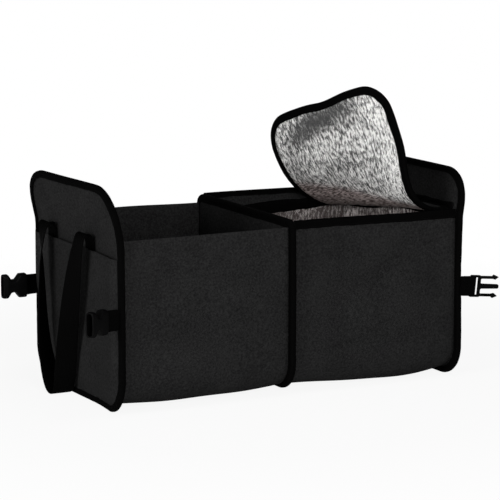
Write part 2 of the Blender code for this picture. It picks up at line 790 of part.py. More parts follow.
def mesh_copy(made):
    """The evaluated mesh of an object, welded, in a new object at the same place."""
    graph = bpy.context.evaluated_depsgraph_get()
    mesh = bpy.data.meshes.new_from_object(made.evaluated_get(graph), depsgraph=graph)
    bm = bmesh.new()
    bm.from_mesh(mesh)
    bmesh.ops.remove_doubles(bm, verts=bm.verts, dist=0.00001)
    bmesh.ops.recalc_face_normals(bm, faces=bm.faces)
    bm.to_mesh(mesh)
    bm.free()
    return mesh


def plate(name, outlines, thickness, finish, matrix):
    """A flat plate from an outline and its holes, all closed lists of points."""
    curve = bpy.data.curves.new(name, "CURVE")
    curve.dimensions = "2D"
    curve.fill_mode = "BOTH"
    curve.extrude = thickness / 2
    for outline in outlines:
        spline = curve.splines.new("POLY")
        spline.points.add(len(outline) - 1)
        for point, (a, b) in zip(spline.points, outline):
            point.co = (a, b, 0.0, 1.0)
        spline.use_cyclic_u = True
    flat = bpy.data.objects.new(name + "_outline", curve)
    parts.objects.link(flat)
    bpy.context.view_layer.update()
    mesh = mesh_copy(flat)
    bpy.data.objects.remove(flat)
    mesh.materials.clear()
    made = add_object(name, mesh, finish)
    made.matrix_world = matrix
    return made


def rectangle(first_a, last_a, half_b):
    return [(first_a, -half_b), (last_a, -half_b), (last_a, half_b), (first_a, half_b)]


def mirrored(half_outline):
    """Closed outline from its upper half."""
    return half_outline + [(a, -b) for a, b in reversed(half_outline)]


# A socket's bar lies at its strap end, a plug's bar a little way into its frame
SOCKET_LOOP = bar_loop_radius(SOCKET_BAR / 2, SOCKET_BAR / 2)
PLUG_LOOP = bar_loop_radius(PLUG_BAR / 2, PLUG_THICKNESS / 2)


def build_socket(name, matrix):
    """Hollow half: a mouth at its far end, and openings at its waisted sides."""
    wide, waist, length = BUCKLE_WIDTH / 2, SOCKET_WAIST / 2, SOCKET_LENGTH
    half = [(0.0, wide - CHAMFER), (CHAMFER / 2, wide), (0.33 * length, wide),
            (0.46 * length, waist + CHAMFER), (0.58 * length, waist), (0.68 * length, waist + CHAMFER),
            (0.76 * length, wide - CHAMFER), (0.80 * length, wide), (0.95 * length, wide),
            (length, wide - 2 * CHAMFER)]
    made = plate(name, [mirrored(half)], SOCKET_THICKNESS, plastic_finish, matrix)
    rounding = made.modifiers.new("rounding", "BEVEL")
    rounding.width = SOCKET_ROUNDING
    rounding.segments = 3
    rounding.limit_method = "ANGLE"
    rounding.angle_limit = math.radians(60.0)
    slot = SOCKET_BAR_AT + SOCKET_BAR / 2
    slot_end = slot + WEBBING_ROOM
    open_half = STRAP_WIDTH / 2 + FIT
    inside = wide - SOCKET_WALL
    cavity = SOCKET_THICKNESS / 2 - SOCKET_WALL
    past = SOCKET_THICKNESS
    shapes = (
        ("_slot", (slot, -open_half, -past), (slot_end, open_half, past)),
        ("_bar_top", (-PAST, -open_half, SOCKET_BAR / 2), (slot + FIT, open_half, past)),
        ("_bar_foot", (-PAST, -open_half, -past), (slot + FIT, open_half, -SOCKET_BAR / 2)),
        ("_cavity", (slot_end + SOCKET_LEDGE, -inside, -cavity), (length + PAST, inside, cavity)))
    for suffix, low, high in shapes:
        cutter = box(name + suffix, low, high, None, cutters)
        cutter.matrix_world = matrix
        cut(made, cutter)


def build_plug(name, matrix):
    """Pronged half: a slotted frame, a middle tongue and two barbed side prongs."""
    wide, frame, length = BUCKLE_WIDTH / 2, PLUG_FRAME_LENGTH, PLUG_LENGTH
    tip = length - CHAMFER
    barb = tip - BARB_LENGTH
    outer = wide - PRONG_INSET
    inner = outer - PRONG
    tongue = TONGUE / 2
    half = [(0.0, wide - CHAMFER), (CHAMFER, wide), (frame - CHAMFER, wide), (frame, outer),
            (barb - BARB_DEPTH, outer), (barb, outer + BARB_DEPTH), (tip, outer - PRONG_INSET),
            (barb + BARB_DEPTH, inner - BARB_DEPTH / 2), (barb - BARB_DEPTH, inner),
            (frame + CHAMFER, inner), (frame, inner - CHAMFER),
            (frame, tongue + CHAMFER), (frame + CHAMFER, tongue),
            (length - CHAMFER, tongue - CHAMFER / 3), (length, tongue - CHAMFER)]
    slot_half = STRAP_WIDTH / 2 + FIT
    near = PLUG_BAR_AT - PLUG_BAR / 2
    far = PLUG_BAR_AT + PLUG_BAR / 2
    holes = [rectangle(PLUG_RAIL, near, slot_half), rectangle(far, frame - PLUG_RAIL, slot_half)]
    plate(name, [mirrored(half)] + holes, PLUG_THICKNESS, plastic_finish, matrix)


def frame_matrix(origin, along, across):
    """Placing matrix whose x runs along the strap and y across it."""
    x = Vector(along).normalized()
    z = x.cross(Vector(across)).normalized()
    y = z.cross(x)
    turned = Matrix((x, y, z)).transposed().to_4x4()
    return Matrix.Translation(origin) @ turned


def build_strap_and_buckle(prefix, placed, is_plug, length):
    radius = PLUG_LOOP if is_plug else SOCKET_LOOP
    build_strap(prefix + "_strap", placed, length, radius)
    bar_at = PLUG_BAR_AT if is_plug else SOCKET_BAR_AT
    buckle = placed @ Matrix.Translation((length - bar_at, 0.0, radius))
    if is_plug:
        build_plug(prefix + "_plug", buckle)
    else:
        build_socket(prefix + "_socket", buckle)


# The straps leave the bindings' outer faces; those on the right hang down a little
SEAM_X = BAG_LENGTH / 2 + FIT
STRAP_Y = PANEL_WIDTH / 2 - WEB


def build_right_straps():
    droop = math.radians(PLUG_DROOP)
    along = (math.cos(droop), 0.0, -math.sin(droop))
    across = Vector((math.sin(droop), 0.0, math.cos(droop)))
    start_x = SEAM_X + STRAP_WIDTH / 2 * math.sin(droop)
    length = (BUCKLE_TIP_X - start_x) / math.cos(droop) - PLUG_LENGTH + PLUG_BAR_AT
    height = STRAP_HEIGHT - PLUG_DROP
    front = frame_matrix((start_x, -STRAP_Y, height), along, -across)
    back = frame_matrix((start_x, STRAP_Y, height), along, across)
    build_strap_and_buckle("right_front", front, True, length)
    build_strap_and_buckle("right_back", back, True, length)


def build_left_straps():
    """The back one stands straight out; the front one lies folded round, a little off the pocket."""
    length = BUCKLE_TIP_X - SOCKET_LENGTH + SOCKET_BAR_AT - SEAM_X
    back = frame_matrix((-SEAM_X, STRAP_Y, STRAP_HEIGHT), (-1, 0, 0), (0, 0, -1))
    build_strap_and_buckle("left_back", back, False, length)

    along = Vector((-0.28, 0.93, -0.22)).normalized()
    corner = STRAP_WIDTH / 2 * abs(along.z)
    x = BAG_LENGTH / 2 - POCKET_DEPTH + 2 * FIT + WEB / 2 * (1 + abs(along.x))
    y = PANEL_WIDTH / 2 - RIBBON_LEG - FIT - corner
    front = frame_matrix((-x, -y, FOLDED_STRAP_HEIGHT), along, (0, -0.2, -1))
    build_strap_and_buckle("left_front", front, False, FOLDED_STRAP)


build_right_straps()
build_left_straps()

for piece in parts.objects:
    if piece.type == "MESH":
        piece.data.shade_smooth()
        piece.data.set_sharp_from_angle(angle=math.radians(35.0))
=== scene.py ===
import bmesh
import bpy
import numpy as np
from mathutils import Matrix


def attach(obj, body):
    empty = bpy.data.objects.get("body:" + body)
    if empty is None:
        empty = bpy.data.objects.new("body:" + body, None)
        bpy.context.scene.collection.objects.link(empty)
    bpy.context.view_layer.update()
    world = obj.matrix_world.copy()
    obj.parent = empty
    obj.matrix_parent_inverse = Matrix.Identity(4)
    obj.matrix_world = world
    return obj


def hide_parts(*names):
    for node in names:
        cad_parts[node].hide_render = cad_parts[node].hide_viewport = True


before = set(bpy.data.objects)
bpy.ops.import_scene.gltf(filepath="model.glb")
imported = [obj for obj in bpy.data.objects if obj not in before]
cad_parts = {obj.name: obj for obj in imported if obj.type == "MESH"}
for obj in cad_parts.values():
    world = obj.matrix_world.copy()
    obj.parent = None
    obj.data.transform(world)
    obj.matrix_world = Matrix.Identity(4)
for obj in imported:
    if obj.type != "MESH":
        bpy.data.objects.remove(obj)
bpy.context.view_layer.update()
print("loaded", len(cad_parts), "nodes")


# Camera, at the photograph's angle

camera = {"place": (-1.7013, -3.1646, 0.8034), "yaw": 28.285, "pitch": 9.739, "lens": 181.44, "sensor": 36.0}
lens = bpy.data.cameras.new("camera")
lens.lens = camera["lens"]
lens.sensor_width = camera["sensor"]
lens.clip_end = 100.0
viewer = bpy.data.objects.new("camera", lens)
viewer.location = camera["place"]
viewer.rotation_euler = (np.radians(90.0 - camera["pitch"]), 0.0, np.radians(-camera["yaw"]))
bpy.context.scene.collection.objects.link(viewer)
bpy.context.scene.camera = viewer
bpy.context.scene.view_settings.view_transform = "Standard"


# Node helpers

def addNode(tree, kind, **settings):
    node = tree.nodes.new(kind)
    for name, value in settings.items():
        setattr(node, name, value)
    return node


def plug(tree, socket, value):
    # a socket takes another socket's output, or a plain value
    if isinstance(value, bpy.types.NodeSocket):
        tree.links.new(value, socket)
    else:
        socket.default_value = value


def mathOf(tree, operation, first, second=0.0, third=0.0):
    node = addNode(tree, "ShaderNodeMath", operation=operation)
    for socket, value in zip(node.inputs, (first, second, third)):
        plug(tree, socket, value)
    return node.outputs[0]


def noiseOf(tree, vector, scale, detail=3.0, roughness=0.5, distortion=0.0):
    node = addNode(tree, "ShaderNodeTexNoise")
    plug(tree, node.inputs["Vector"], vector)
    settings = {"Scale": scale, "Detail": detail, "Roughness": roughness, "Distortion": distortion}
    for name, value in settings.items():
        plug(tree, node.inputs[name], value)
    return node.outputs["Fac"]


def mapped(tree, vector, turn=(0.0, 0.0, 0.0), scale=(1.0, 1.0, 1.0)):
    node = addNode(tree, "ShaderNodeMapping")
    plug(tree, node.inputs["Vector"], vector)
    node.inputs["Rotation"].default_value = turn
    node.inputs["Scale"].default_value = scale
    return node.outputs["Vector"]


def stretched(tree, value, low, high, newLow=0.0, newHigh=1.0):
    node = addNode(tree, "ShaderNodeMapRange", clamp=True)
    for socket, number in zip(node.inputs, (value, low, high, newLow, newHigh)):
        plug(tree, socket, number)
    return node.outputs["Result"]


def blended(tree, amount, first, second):
    node = addNode(tree, "ShaderNodeMix", data_type="RGBA")
    plug(tree, node.inputs[0], amount)
    plug(tree, node.inputs[6], first)
    plug(tree, node.inputs[7], second)
    return node.outputs[2]


def waveOf(tree, turns):
    # a sine wave between 0 and 1
    return mathOf(tree, "MULTIPLY_ADD", mathOf(tree, "SINE", turns), 0.5, 0.5)


def newGroup(name, numbers, outputs):
    # a group that takes a place and some numbers, and gives values
    tree = bpy.data.node_groups.new(name, "ShaderNodeTree")
    tree.interface.new_socket(name="Vector", in_out="INPUT", socket_type="NodeSocketVector")
    for label, value in numbers.items():
        socket = tree.interface.new_socket(name=label, in_out="INPUT", socket_type="NodeSocketFloat")
        socket.default_value = value
    for label in outputs:
        tree.interface.new_socket(name=label, in_out="OUTPUT", socket_type="NodeSocketFloat")
    return tree, tree.nodes.new("NodeGroupInput").outputs, tree.nodes.new("NodeGroupOutput").inputs


def useGroup(tree, group, **values):
    node = addNode(tree, "ShaderNodeGroup", node_tree=group)
    for name, value in values.items():
        plug(tree, node.inputs[name], value)
    return node.outputs


def feltGroup():
    # fibres lying every way over clouds of darker and lighter wool
    tree, given, made = newGroup("feltFibres", {}, ("Tone", "Height"))
    clouds = noiseOf(tree, given["Vector"], 330.0, 3.0, 0.65)
    patches = noiseOf(tree, given["Vector"], 21.0, 2.0, 0.5)
    lying = mapped(tree, given["Vector"], (0.5, 0.7, 0.35), (1.0, 0.16, 1.0))
    crossing = mapped(tree, given["Vector"], (-0.6, 0.4, -0.9), (0.18, 1.0, 1.0))
    first = noiseOf(tree, lying, 1250.0, 2.0, 0.6, 0.4)
    second = noiseOf(tree, crossing, 1500.0, 2.0, 0.6, 0.4)
    fibres = mathOf(tree, "MAXIMUM", first, second)
    tone = mathOf(tree, "MULTIPLY_ADD", clouds, 0.52, mathOf(tree, "MULTIPLY", fibres, 0.34))
    tone = mathOf(tree, "MULTIPLY_ADD", patches, 0.14, tone)
    specks = stretched(tree, noiseOf(tree, given["Vector"], 620.0, 1.0, 0.5), 0.30, 0.42, 0.45, 1.0)
    plug(tree, made["Tone"], mathOf(tree, "MULTIPLY", stretched(tree, tone, 0.40, 0.62), specks))
    plug(tree, made["Height"], mathOf(tree, "MULTIPLY_ADD", clouds, 0.5, fibres))
    return tree


def ribsGroup():
    # ribs across a ribbon, whose ends lie at the selvedges, with a fine thread in each
    tree, given, made = newGroup("ribbonRibs", {"Pitch": 0.0011}, ("Tone", "Height"))
    place = addNode(tree, "ShaderNodeSeparateXYZ")
    plug(tree, place.inputs[0], given["Vector"])
    turns = mathOf(tree, "DIVIDE", mathOf(tree, "MULTIPLY", place.outputs["X"], 2 * np.pi), given["Pitch"])
    threads = mathOf(tree, "MULTIPLY", place.outputs["Y"], 2 * np.pi / 0.0006)
    rib, thread = waveOf(tree, turns), waveOf(tree, threads)
    fuzz = noiseOf(tree, given["Vector"], 900.0, 2.0, 0.6)
    height = mathOf(tree, "MULTIPLY_ADD", thread, 0.25, rib)
    plug(tree, made["Height"], mathOf(tree, "MULTIPLY_ADD", fuzz, 0.4, height))
    plug(tree, made["Tone"], mathOf(tree, "MULTIPLY_ADD", fuzz, 0.5, mathOf(tree, "MULTIPLY", rib, 0.5)))
    return tree


def weaveGroup():
    # columns of slanting threads, each column's slant shifted by half a stitch from the last
    tree, given, made = newGroup("webbingWeave", {"Column": 0.0019}, ("Tone", "Height"))
    place = addNode(tree, "ShaderNodeSeparateXYZ")
    plug(tree, place.inputs[0], given["Vector"])
    columns = mathOf(tree, "DIVIDE", place.outputs["Y"], given["Column"])
    rows = mathOf(tree, "DIVIDE", place.outputs["X"], given["Column"])
    odd = mathOf(tree, "FLOORED_MODULO", mathOf(tree, "FLOOR", columns), 2.0)
    within = mathOf(tree, "SUBTRACT", mathOf(tree, "FRACT", columns), 0.5)
    slant = mathOf(tree, "MULTIPLY", within, mathOf(tree, "MULTIPLY_ADD", odd, 2.0, -1.0))
    along = mathOf(tree, "ADD", mathOf(tree, "MULTIPLY_ADD", odd, 0.5, rows), slant)
    thread = waveOf(tree, mathOf(tree, "MULTIPLY", along, 2 * np.pi))
    fromMiddle = mathOf(tree, "ABSOLUTE", mathOf(tree, "MULTIPLY", within, 2.0))
    crown = mathOf(tree, "SUBTRACT", 1.0, mathOf(tree, "POWER", fromMiddle, 3.0))
    fuzz = noiseOf(tree, given["Vector"], 700.0, 2.0, 0.6)
    height = mathOf(tree, "MULTIPLY", crown, mathOf(tree, "MULTIPLY_ADD", thread, 0.6, 0.4))
    plug(tree, made["Height"], height)
    plug(tree, made["Tone"], mathOf(tree, "MULTIPLY_ADD", fuzz, 0.5, mathOf(tree, "MULTIPLY", height, 0.5)))
    return tree


def crinkleGroup():
    # embossed dashes in wavering rows, longer along the first axis, over chance dents and broad waves;
    # where the foil is pulled, they give way to fine lines that run across
    tree, given, made = newGroup("foilCrinkle", {"Pulled": 0.0}, ("Glint", "Height"))
    place = addNode(tree, "ShaderNodeSeparateXYZ")
    plug(tree, place.inputs[0], given["Vector"])
    waver = noiseOf(tree, given["Vector"], 75.0, 3.0, 0.6)
    rows = []
    for axis, pitch, shift in (("X", 0.0044, 9.0), ("Y", 0.0031, 13.0)):
        turns = mathOf(tree, "MULTIPLY", place.outputs[axis], 2 * np.pi / pitch)
        rows.append(mathOf(tree, "SINE", mathOf(tree, "MULTIPLY_ADD", waver, shift, turns)))
    weave = mathOf(tree, "MULTIPLY_ADD", mathOf(tree, "MULTIPLY", rows[0], rows[1]), 0.5, 0.5)
    long = mapped(tree, given["Vector"], (0.0, 0.0, 0.10), (0.40, 1.0, 1.0))
    dents = noiseOf(tree, long, 290.0, 2.0, 0.6, 0.3)
    fine = noiseOf(tree, long, 640.0, 2.0, 0.6, 0.3)
    waves = noiseOf(tree, long, 110.0, 2.0, 0.5)
    dashes = mathOf(tree, "MULTIPLY_ADD", dents, 0.62, mathOf(tree, "MULTIPLY", fine, 0.22))
    dashes = mathOf(tree, "MULTIPLY_ADD", weave, 0.16, dashes)
    sideways = mapped(tree, given["Vector"], (0.0, 0.0, -0.35), (1.0, 0.14, 1.0))
    lines = noiseOf(tree, sideways, 640.0, 2.0, 0.55, 0.2)
    pulled = mathOf(tree, "MULTIPLY", given["Pulled"], mathOf(tree, "SUBTRACT", lines, dashes))
    dashes = mathOf(tree, "ADD", dashes, pulled)
    plug(tree, made["Height"], mathOf(tree, "MULTIPLY_ADD", waves, 0.8, dashes))
    # the glint: lighter dashes, painted into the foil's colour as highlights, which also make it smoother
    glint = mathOf(tree, "MULTIPLY_ADD", waves, 0.12, mathOf(tree, "MULTIPLY", dashes, 0.88))
    plug(tree, made["Glint"], stretched(tree, glint, 0.44, 0.56))
    return tree


feltFibres = feltGroup()
ribbonRibs = ribsGroup()
webbingWeave = weaveGroup()
foilCrinkle = crinkleGroup()


# Materials

def newMaterial(name):
    made = bpy.data.materials.new(name)
    made.use_nodes = True
    return made, made.node_tree, made.node_tree.nodes["Principled BSDF"].inputs


def objectPlace(tree):
    return addNode(tree, "ShaderNodeTexCoord").outputs["Object"]


def bumped(tree, shader, height, strength, distance):
    bump = addNode(tree, "ShaderNodeBump")
    bump.inputs["Strength"].default_value = strength
    bump.inputs["Distance"].default_value = distance
    plug(tree, bump.inputs["Height"], height)
    plug(tree, shader["Normal"], bump.outputs["Normal"])


def painted(tree, shader, amount, dark, light):
    # the colour runs from dark to light
    plug(tree, shader["Base Color"], blended(tree, amount, (*dark, 1.0), (*light, 1.0)))


def feltMaterial(name, dark, light):
    made, tree, shader = newMaterial(name)
    fibres = useGroup(tree, feltFibres, Vector=objectPlace(tree))
    painted(tree, shader, fibres["Tone"], dark, light)
    shader["Roughness"].default_value = 0.95
    shader["Specular IOR Level"].default_value = 0.05
    bumped(tree, shader, fibres["Height"], 0.7, 0.0008)
    return made


def stripMaterial(name, group, dark, light, size, roughness, depth):
    # a woven strip, whose pattern follows its own length and width
    made, tree, shader = newMaterial(name)
    place = addNode(tree, "ShaderNodeUVMap", uv_map="strip").outputs["UV"]
    sizeName = "Pitch" if group is ribbonRibs else "Column"
    woven = useGroup(tree, group, Vector=place, **{sizeName: size})
    painted(tree, shader, woven["Tone"], dark, light)
    shader["Roughness"].default_value = roughness
    shader["Specular IOR Level"].default_value = 0.012
    bumped(tree, shader, woven["Height"], 0.6, depth)
    return made


# how far the painted glints and the tone raise or lower the foil's colour, and its colours from dark to light,
# plain and tinted
foilLook = {"glint": 1.35, "darker": 0.62, "power": 1.7, "plain": ((0.07, 0.07, 0.07, 1.0), (1.0, 0.99, 0.97, 1.0)),
            "tinted": ((0.085, 0.060, 0.056, 1.0), (0.60, 0.51, 0.49, 1.0))}


def foilMaterial():
    # crinkled foil; the mesh says where it is painted lighter or darker (tone: painted reflections and shade, and
    # chance waves), tinted (warm) and lined (pulled)
    made, tree, shader = newMaterial("silverFoil")
    place = addNode(tree, "ShaderNodeUVMap", uv_map="strip").outputs["UV"]
    tone, warm, pulled = (addNode(tree, "ShaderNodeAttribute", attribute_name=label).outputs["Fac"]
                          for label in ("tone", "warm", "pulled"))
    crinkle = useGroup(tree, foilCrinkle, Vector=place, Pulled=pulled)
    level = mathOf(tree, "SUBTRACT", tone, foilLook["darker"])
    # painted glints: the crinkle's lighter dashes raise the base colour
    level = mathOf(tree, "MULTIPLY_ADD", crinkle["Glint"], foilLook["glint"], level)
    level = mathOf(tree, "POWER", stretched(tree, level, 0.0, 1.0), foilLook["power"])
    plain, tinted = (blended(tree, level, *foilLook[label]) for label in ("plain", "tinted"))
    plug(tree, shader["Base Color"], blended(tree, warm, plain, tinted))
    shader["Metallic"].default_value = 0.12
    shader["Specular IOR Level"].default_value = 0.12
    plug(tree, shader["Roughness"], stretched(tree, crinkle["Glint"], 0.0, 1.0, 0.45, 0.25))
    bumped(tree, shader, crinkle["Height"], 0.8, 0.0011)
    return made


def plasticMaterial():
    made, tree, shader = newMaterial("mouldedPlastic")
    shader["Specular IOR Level"].default_value = 0.035
    place = objectPlace(tree)
    grain = noiseOf(tree, place, 2600.0, 3.0, 0.6)
    clouds = noiseOf(tree, place, 90.0, 2.0, 0.5)
    painted(tree, shader, clouds, (0.0010, 0.0010, 0.0011), (0.0023, 0.0023, 0.0024))
    plug(tree, shader["Roughness"], stretched(tree, grain, 0.3, 0.7, 0.34, 0.52))
    bumped(tree, shader, grain, 0.25, 0.0003)
    return made


def boardMaterial():
    made, tree, shader = newMaterial("greyBoard")
    place = objectPlace(tree)
    grain = noiseOf(tree, mapped(tree, place, (0.0, 0.0, 0.0), (0.2, 1.0, 1.0)), 900.0, 3.0, 0.6)
    painted(tree, shader, grain, (0.035, 0.035, 0.035), (0.075, 0.073, 0.07))
    shader["Roughness"].default_value = 0.8
    bumped(tree, shader, grain, 0.4, 0.0004)
    return made


def foamMaterial():
    made, tree, shader = newMaterial("whiteFoam")
    place = objectPlace(tree)
    cells = addNode(tree, "ShaderNodeTexVoronoi")
    plug(tree, cells.inputs["Vector"], place)
    cells.inputs["Scale"].default_value = 620.0
    painted(tree, shader, cells.outputs["Distance"], (0.62, 0.62, 0.6), (0.8, 0.8, 0.78))
    shader["Roughness"].default_value = 0.85
    bumped(tree, shader, cells.outputs["Distance"], 0.5, 0.0008)
    return made


def threadMaterial():
    made, tree, shader = newMaterial("blackThread")
    place = objectPlace(tree)
    twist = noiseOf(tree, place, 1800.0, 2.0, 0.6)
    painted(tree, shader, twist, (0.0008,) * 3, (0.0026,) * 3)
    shader["Roughness"].default_value = 0.8
    shader["Specular IOR Level"].default_value = 0.04
    bumped(tree, shader, twist, 0.4, 0.0002)
    return made


finish = {
    "felt": feltMaterial("charcoalFelt", (0.0062, 0.0062, 0.0064), (0.0205,) * 3),
    "ribbon": stripMaterial("blackRibbon", ribbonRibs, (0.0006,) * 3, (0.0020,) * 3, 0.0011, 0.8, 0.0004),
    "webbing": stripMaterial("blackWebbing", webbingWeave, (0.0004,) * 3, (0.0020,) * 3, 0.0019, 0.7, 0.0006),
    "foil": foilMaterial(),
    "plastic": plasticMaterial(),
    "board": boardMaterial(),
    "foam": foamMaterial(),
    "thread": threadMaterial(),
}
print("made", len(finish), "materials")


# Mesh helpers

def smooth(t):
    t = np.clip(t, 0.0, 1.0)
    return t * t * (3.0 - 2.0 * t)


def wander(s, seed, lengths, amount):
    # a wavering line: sines of the given wavelengths, each with its own phase
    chance = np.random.default_rng(seed)
    phases = chance.uniform(0.0, 2 * np.pi, len(lengths))
    waves = [np.sin(2 * np.pi * s / length + phase) for length, phase in zip(lengths, phases)]
    return amount * sum(waves) / len(lengths)


def rumple(x, y, seed, count, shortest, longest, amount):
    # gentle unevenness of a sheet: many plane waves of chance direction, length and phase
    chance = np.random.default_rng(seed)
    total = np.zeros(np.broadcast(x, y).shape)
    for turn, length, phase in zip(chance.uniform(0, np.pi, count), chance.uniform(shortest, longest, count),
                                   chance.uniform(0, 2 * np.pi, count)):
        total += np.sin(2 * np.pi * (x * np.cos(turn) + y * np.sin(turn)) / length + phase)
    return amount * total / np.sqrt(count)


def normalsOf(surface, u, v, step=0.0005):
    # unit normals, from the differences of the surface's points along u and across v
    along = surface(u + step, v) - surface(u - step, v)
    across = surface(u, v + step) - surface(u, v - step)
    normal = np.cross(along, across)
    return normal / np.linalg.norm(normal, axis=-1, keepdims=True)


def gridQuads(rows, columns, closedRows=False, closedColumns=False, first=0):
    # corner numbers of the four-sided faces of a grid of points
    down = np.arange(rows if closedRows else rows - 1)[:, None]
    over = np.arange(columns if closedColumns else columns - 1)[None, :]
    after, beside = (down + 1) % rows, (over + 1) % columns
    corners = [down * columns + over, down * columns + beside,
               after * columns + beside, after * columns + over]
    return first + np.stack([c + np.zeros_like(down + over) for c in corners], axis=-1).reshape(-1, 4)


def makePiece(name, points, quads, kind, body, nodes, strip=None, marks=None, caps=()):
    # a mesh at the origin that rides on a body and stands for CAD nodes; kind names its finish
    mesh = bpy.data.meshes.new(name)
    mesh.from_pydata(points.reshape(-1, 3).tolist(), [], quads.tolist() + [list(cap) for cap in caps])
    if strip is not None:
        layer = mesh.uv_layers.new(name="strip")
        corner = np.empty(len(mesh.loops), np.int32)
        mesh.loops.foreach_get("vertex_index", corner)
        layer.data.foreach_set("uv", strip.reshape(-1, 2)[corner].ravel().astype(np.float32))
    for label, values in (marks or {}).items():
        layer = mesh.attributes.new(label, "FLOAT", "POINT")
        layer.data.foreach_set("value", values.ravel().astype(np.float32))
    tidy = bmesh.new()
    tidy.from_mesh(mesh)
    bmesh.ops.recalc_face_normals(tidy, faces=tidy.faces)
    tidy.to_mesh(mesh)
    tidy.free()
    mesh.shade_smooth()
    mesh.set_sharp_from_angle(angle=np.radians(55.0))
    mesh.materials.append(finish[kind])
    made = bpy.data.objects.new(name, mesh)
    bpy.context.scene.collection.objects.link(made)
    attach(made, body)
    if nodes:
        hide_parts(*nodes)
    return made


def tubePiece(name, points, kind, body, nodes, strip=None):
    # rings of points joined into a tube with closed ends
    rows, columns = points.shape[:2]
    ends = (range(columns), range((rows - 1) * columns, rows * columns))
    return makePiece(name, points, gridQuads(rows, columns, False, True), kind, body, nodes, strip, None, ends)


def shellOf(front, back):
    # a closed sheet between two grids of points, with a rounded rim between their edges
    rows, columns = front.shape[:2]
    number = np.arange(rows * columns).reshape(rows, columns)
    edge = np.concatenate([number[0, :-1], number[:-1, -1], number[-1, :0:-1], number[:0:-1, 0]])
    innerRow = np.clip(np.arange(rows), 1, rows - 2)
    innerColumn = np.clip(np.arange(columns), 1, columns - 2)
    inside = (innerRow[:, None] * columns + innerColumn).ravel()[edge]
    flatFront, flatBack = front.reshape(-1, 3), back.reshape(-1, 3)
    middle = (flatFront + flatBack) / 2
    out = middle[edge] - middle[inside]
    out /= np.maximum(np.linalg.norm(out, axis=1, keepdims=True), 1e-9)
    half = np.linalg.norm(flatFront[edge] - flatBack[edge], axis=1, keepdims=True) / 2
    rim = middle[edge] + out * half * 0.8
    points = np.concatenate([flatFront, flatBack, rim])
    shift, start, count = rows * columns, 2 * rows * columns, len(edge)
    after = np.roll(np.arange(count), -1)
    sides = [np.stack([edge, edge[after], start + after, start + np.arange(count)], axis=1),
             np.stack([start + np.arange(count), start + after, shift + edge[after], shift + edge], axis=1)]
    quads = np.concatenate([gridQuads(rows, columns), gridQuads(rows, columns, first=shift)[:, ::-1]] + sides)
    return points, quads, np.concatenate([np.arange(shift), np.arange(shift), edge])


def sheetPiece(name, surface, u, v, depth, thickness, kind, body, nodes, lift=None, strip=None, marks=None):
    # a layer between two depths under a surface, raised by lift towards the outside
    normal = normalsOf(surface, u, v)
    raised = lift(u, v) if lift else np.zeros_like(u)
    base = surface(u, v)
    outer = base + normal * (depth - raised)[..., None]
    inner = base + normal * (depth + thickness - raised)[..., None]
    points, quads, source = shellOf(outer, inner)
    wide = None if strip is None else strip.reshape(-1, 2)[source]
    kept = {label: values.ravel()[source] for label, values in (marks or {}).items()}
    return makePiece(name, points, quads, kind, body, nodes, wide, kept)


def cornerInset(u, low, high, lowRadius, highRadius):
    # how far a round corner pulls the edge in at each level
    lowRise = np.clip(low + lowRadius - u, 0.0, lowRadius)
    highRise = np.clip(u - high + highRadius, 0.0, highRadius)
    lowInset = lowRadius - np.sqrt(lowRadius ** 2 - lowRise ** 2)
    return lowInset + (highRadius - np.sqrt(highRadius ** 2 - highRise ** 2))


def sheetGrid(low, high, firstV, lastV, radii, rows, columns):
    # levels and places of a round-cornered sheet; radii: low first, low last, high last, high first
    turn = (1 - np.cos(np.linspace(0.0, np.pi, rows))) / 2
    u = low + (high - low) * (0.55 * turn + 0.45 * np.linspace(0.0, 1.0, rows))
    first = firstV + cornerInset(u, low, high, radii[0], radii[3])
    last = lastV - cornerInset(u, low, high, radii[1], radii[2])
    across = np.linspace(0.0, 1.0, columns)
    return np.repeat(u[:, None], columns, axis=1), first[:, None] + (last - first)[:, None] * across


spacing = 0.005  # between the stations of an outline


def outlineOf(low, high, firstV, lastV, radii):
    # round the sheet's edge: four arcs joined by straight runs, as levels, places and inward directions
    corners = ((low, firstV), (low, lastV), (high, lastV), (high, firstV))
    arcs = []
    for k, ((cornerU, cornerV), radius) in enumerate(zip(corners, radii)):
        centreU = cornerU + (radius if cornerU == low else -radius)
        centreV = cornerV + (radius if cornerV == firstV else -radius)
        turn = np.pi + np.pi / 2 * (k + np.linspace(0.0, 1.0, max(3, int(radius * 1.6 / spacing) + 2)))
        outU, outV = np.sin(turn), np.cos(turn)
        arcs.append(np.stack([centreU + radius * outU, centreV + radius * outV, -outU, -outV], axis=1))
    return arcs


def joined(arcs, closed):
    # one outline through the arcs, with stations along the straight runs between them
    runs = []
    for k, arc in enumerate(arcs):
        runs.append(arc)
        if k == len(arcs) - 1 and not closed:
            break
        after = arcs[(k + 1) % len(arcs)][0]
        gap = np.hypot(*(after - arc[-1])[:2])
        t = np.linspace(0.0, 1.0, max(2, int(gap / spacing)) + 1)[1:-1, None]
        runs.append(arc[-1] + (after - arc[-1]) * t)
    return np.concatenate(runs)


def runLength(points):
    # distance along a line of points
    steps = np.linalg.norm(np.diff(points, axis=0), axis=1)
    return np.concatenate([[0.0], np.cumsum(steps)])


